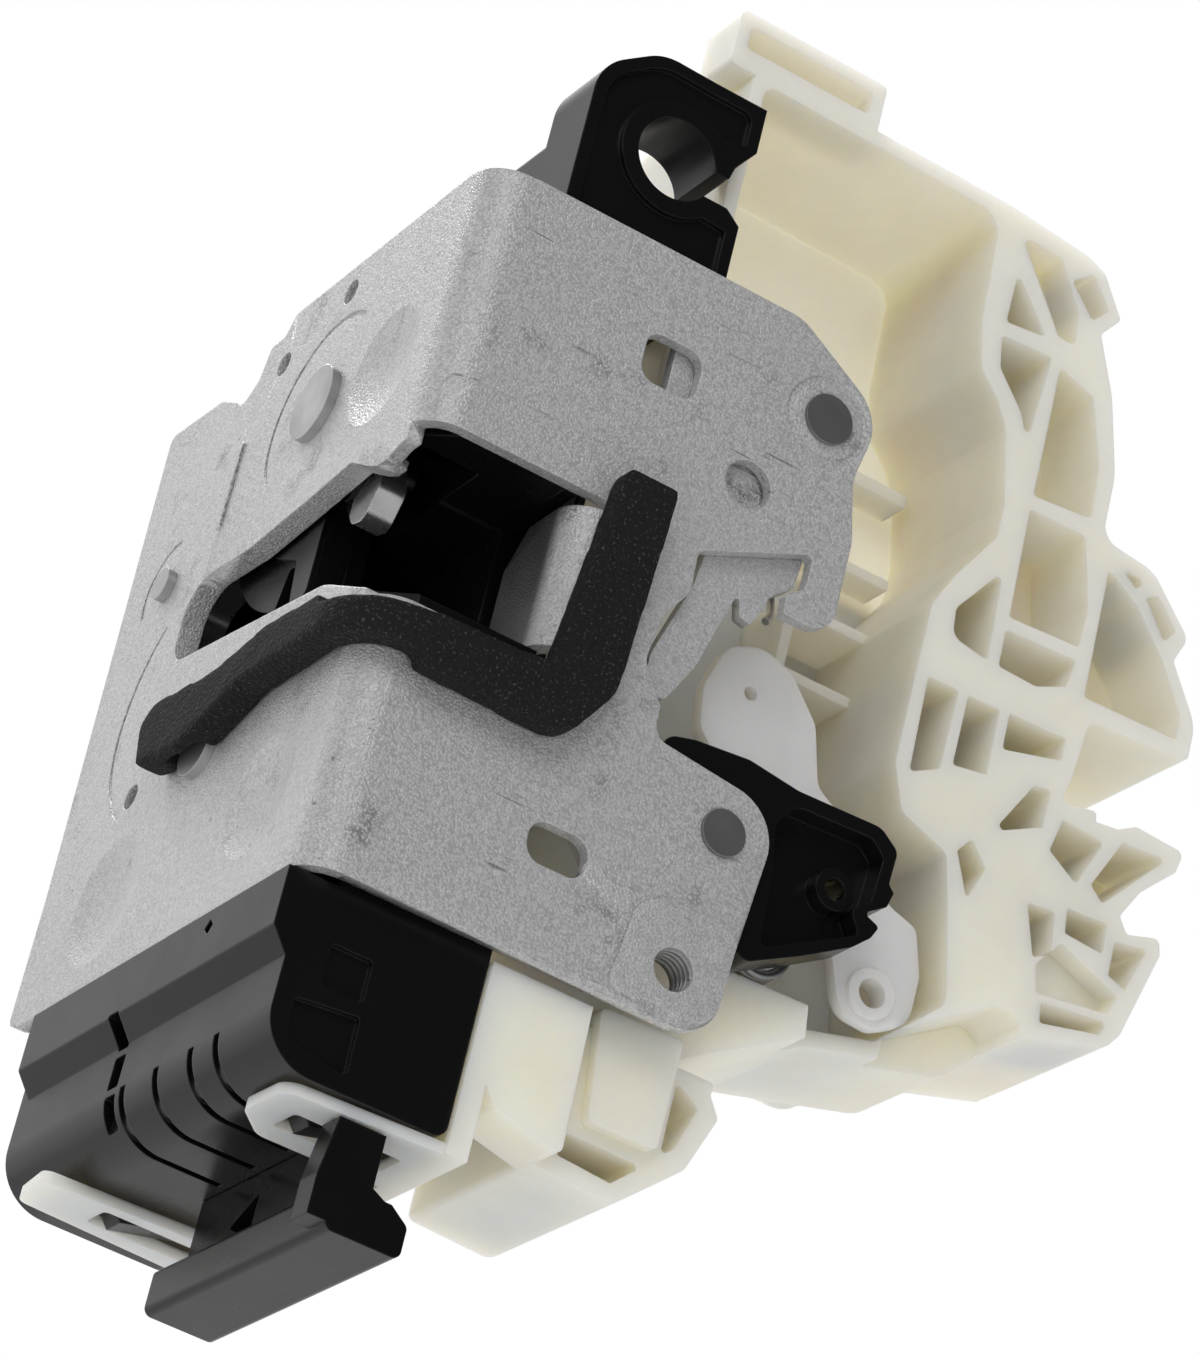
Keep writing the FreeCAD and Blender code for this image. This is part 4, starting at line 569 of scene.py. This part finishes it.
def add_form(name, form):
    """A piece made from faces, all turned outward."""
    bmesh.ops.recalc_face_normals(form, faces=form.faces)
    mesh = bpy.data.meshes.new(name)
    form.to_mesh(mesh)
    form.free()
    return add_object(name, mesh)


def prism(outline, bottom, top):
    """Faces of an upright form whose outline is given in X and Y."""
    form = bmesh.new()
    lower = [form.verts.new((x * MM, y * MM, bottom)) for x, y in outline]
    upper = [form.verts.new((x * MM, y * MM, top)) for x, y in outline]
    form.faces.new(lower)
    form.faces.new(upper)
    for side in range(len(outline)):
        after = (side + 1) % len(outline)
        form.faces.new((lower[side], lower[after], upper[after], upper[side]))
    return form


def evaluated_mesh(piece):
    return bpy.data.meshes.new_from_object(piece.evaluated_get(bpy.context.evaluated_depsgraph_get()))


def joined_copy(node_name, name):
    """A copy of a node with its faces joined along their edges, as a piece of its own."""
    solid = nodes[node_name].data.copy()
    form = bmesh.new()
    form.from_mesh(solid)
    bmesh.ops.remove_doubles(form, verts=form.verts, dist=JOIN_DISTANCE)
    form.to_mesh(solid)
    form.free()
    return add_object(name, solid)


def dish_rings(form, place_y, place_z, radius):
    """Rings of a shallow bowl from its middle out, the last one just outside the rear face."""
    reach = 1.0 + 1.0 / DISH_STEPS
    angles = [2 * math.pi * side / DISH_SIDES for side in range(DISH_SIDES)]
    rings = []
    for step in range(1, DISH_STEPS + 1):
        share = reach * step / DISH_STEPS
        depth = DISH_DEPTH * (1.0 - share * share)
        rings.append([form.verts.new((depth, place_y + radius * share * math.cos(angle),
                                      place_z + radius * share * math.sin(angle))) for angle in angles])
    return rings


def dish_cutter(place_y, place_z, radius):
    """A shallow bowl to cut from the rear face: round, deepest in the middle."""
    form = bmesh.new()
    rings = dish_rings(form, place_y, place_z, radius)
    middle = form.verts.new((DISH_DEPTH, place_y, place_z))
    for side in range(DISH_SIDES):
        after = (side + 1) % DISH_SIDES
        form.faces.new((middle, rings[0][side], rings[0][after]))
        for inner, outer in zip(rings, rings[1:]):
            form.faces.new((inner[side], outer[side], outer[after], inner[after]))
    form.faces.new(rings[-1])
    return add_form("dish_cutter", form)


def bend_surface(place_x):
    """How deep the plate's outer face lies at a distance from its rear face."""
    short = max(0.0, BEND_RADIUS - place_x)
    return BEND_RADIUS - math.sqrt(BEND_RADIUS ** 2 - short ** 2)


def line_cutter():
    """The pressed line's groove as a wire lying half in the side face and round the bend."""
    wire = tube("line_wire", [(x * MM, bend_surface(x * MM), z * MM) for x, z in PRESSED_LINE], LINE_WIRE)
    cutter = add_object("line_cutter", evaluated_mesh(wire))
    bpy.data.objects.remove(wire)
    return cutter


def cut_away(piece, cutters):
    """Cut each form from the piece for good, and take the forms away."""
    for cutter in cutters:
        cut = piece.modifiers.new("cut", "BOOLEAN")
        cut.operation = "DIFFERENCE"
        cut.solver = "EXACT"
        cut.object = cutter
    piece.data = evaluated_mesh(piece)
    piece.modifiers.clear()
    for cutter in cutters:
        bpy.data.objects.remove(cutter)


def even_shading(piece):
    """Smooth faces with sharp edges kept."""
    piece.data.polygons.foreach_set("use_smooth", [True] * len(piece.data.polygons))
    piece.data.set_sharp_from_angle(angle=SHARP_ANGLE)
    smooth = piece.modifiers.new("even_normals", "WEIGHTED_NORMAL")
    smooth.keep_sharp = True


# Pieces that stand for a node or are added to it

def pressed_plate():
    """The bent plate with its dished recesses and its pressed line."""
    piece = joined_copy("frame_plate", "pressed_plate")
    cutters = [dish_cutter(y * MM, z * MM, radius * MM) for y, z, radius in DISHES]
    cut_away(piece, [*cutters, line_cutter()])
    even_shading(piece)
    dress(piece, MATERIALS["plated_steel"])
    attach(piece, "frame")
    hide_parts("frame_plate")


def foam_strip():
    """The foam seal, with soft edges and a slightly uneven skin."""
    piece = joined_copy("foam_seal", "foam_strip")
    skin = piece.modifiers.new("skin", "REMESH")
    skin.mode = "VOXEL"
    skin.voxel_size = FOAM_VOXEL
    skin.use_smooth_shade = True
    edges = piece.modifiers.new("soft_edges", "SMOOTH")
    edges.factor = FOAM_SOFTENING
    edges.iterations = FOAM_SMOOTHING
    patches = bpy.data.textures.new("foam_patches", "CLOUDS")
    patches.noise_scale = FOAM_PATCH
    uneven = piece.modifiers.new("uneven", "DISPLACE")
    uneven.texture = patches
    uneven.texture_coords = "LOCAL"
    uneven.strength = FOAM_UNEVEN
    dress(piece, MATERIALS["foam"])
    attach(piece, "frame")
    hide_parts("foam_seal")


def thread_rings():
    """Turns of the screw thread inside the tapped hole, as fine ridges on its wall."""
    hole = next(mount for mount in frame["record"]["mounts"] if mount["name"] == "side_screw")
    radius = hole["dims"]["r_mm"] * MM - THREAD_SINK
    centre_x, _, centre_z = hole["pos_m"]
    points = []
    for index in range(THREAD_TURNS * THREAD_STEPS + 1):
        angle = 2 * math.pi * index / THREAD_STEPS
        depth = THREAD_START + THREAD_PITCH * index / THREAD_STEPS
        points.append((centre_x + radius * math.cos(angle), depth, centre_z + radius * math.sin(angle)))
    piece = tube("screw_thread", points, THREAD_WIRE, roundness=2, closed_ends=False)
    piece.data.materials.append(MATERIALS["rivet_steel"])
    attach(piece, "frame")


def lip_shroud():
    """The housing's wall behind the striker lip, which closes the way past the lip."""
    piece = add_form("lip_shroud", prism(SHROUD_OUTLINE, SHROUD_BOTTOM, SHROUD_TOP))
    edge = piece.modifiers.new("edge", "BEVEL")
    edge.width = SHROUD_EDGE
    edge.segments = SHROUD_EDGE_STEPS
    piece.data.materials.append(MATERIALS["black_plastic"])
    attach(piece, "frame")


def spring_end():
    """The last of the release spring's wire, behind the release lever and out through the notch."""
    points = [tuple(part * MM for part in point) for point in SPRING_END]
    piece = tube("release_spring_end", points, SPRING_WIRE)
    piece.data.materials.append(MATERIALS["bright_steel"])
    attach(piece, "frame")


# Light and surroundings

def add_lamp(name, place, target, size, power):
    data = bpy.data.lights.new(name, "AREA")
    data.shape = "SQUARE"
    data.size = size
    data.energy = power
    lamp = add_object(name, data)
    lamp.location = place
    lamp.rotation_euler = (Vector(target) - Vector(place)).to_track_quat("-Z", "Y").to_euler()


def white_surrounding(tree, strength):
    node = tree.nodes.new("ShaderNodeBackground")
    feed(tree, node.inputs["Color"], WHITE)
    feed(tree, node.inputs["Strength"], strength)
    return node.outputs[0]


def set_surroundings():
    """A white backdrop behind the part and a dim room in front of it."""
    world = bpy.data.worlds.new("surrounding")
    bpy.context.scene.world = world
    world.use_nodes = True
    tree = world.node_tree
    tree.nodes.remove(tree.nodes["Background"])
    direction = split_place(tree, tree.nodes.new("ShaderNodeTexCoord").outputs["Generated"])
    ray = tree.nodes.new("ShaderNodeLightPath").outputs
    room = between(tree, ray["Is Glossy Ray"], ROOM_LIGHT, ROOM_SHEEN)
    strength = ramp(tree, direction["Y"], ROOM_SIDE, BACKDROP_SIDE, room, BACKDROP_LIGHT)
    choice = tree.nodes.new("ShaderNodeMixShader")
    seen = math_node(tree, "MAXIMUM", ray["Is Camera Ray"], ray["Is Transmission Ray"])
    layers = (seen, white_surrounding(tree, strength), white_surrounding(tree, BACKDROP_SEEN))
    for socket, source in zip(choice.inputs, layers):
        tree.links.new(source, socket)
    tree.links.new(choice.outputs[0], tree.nodes["World Output"].inputs["Surface"])


def add_floor():
    """A pale floor far below the part."""
    bpy.ops.mesh.primitive_plane_add(size=FLOOR_SIZE, location=(0.0, 0.0, FLOOR_HEIGHT))
    floor = bpy.context.object
    floor.name = "floor"
    material, tree, shader = new_material("pale_floor")
    feed(tree, shader["Base Color"], FLOOR_COLOUR)
    shader["Roughness"].default_value = FLOOR_ROUGHNESS
    floor.data.materials.append(material)


dress_nodes()
pressed_plate()
foam_strip()
thread_rings()
lip_shroud()
spring_end()
place_camera()
set_surroundings()
add_floor()
for lamp_name, lamp_values in LAMPS.items():
    add_lamp(lamp_name, **lamp_values)
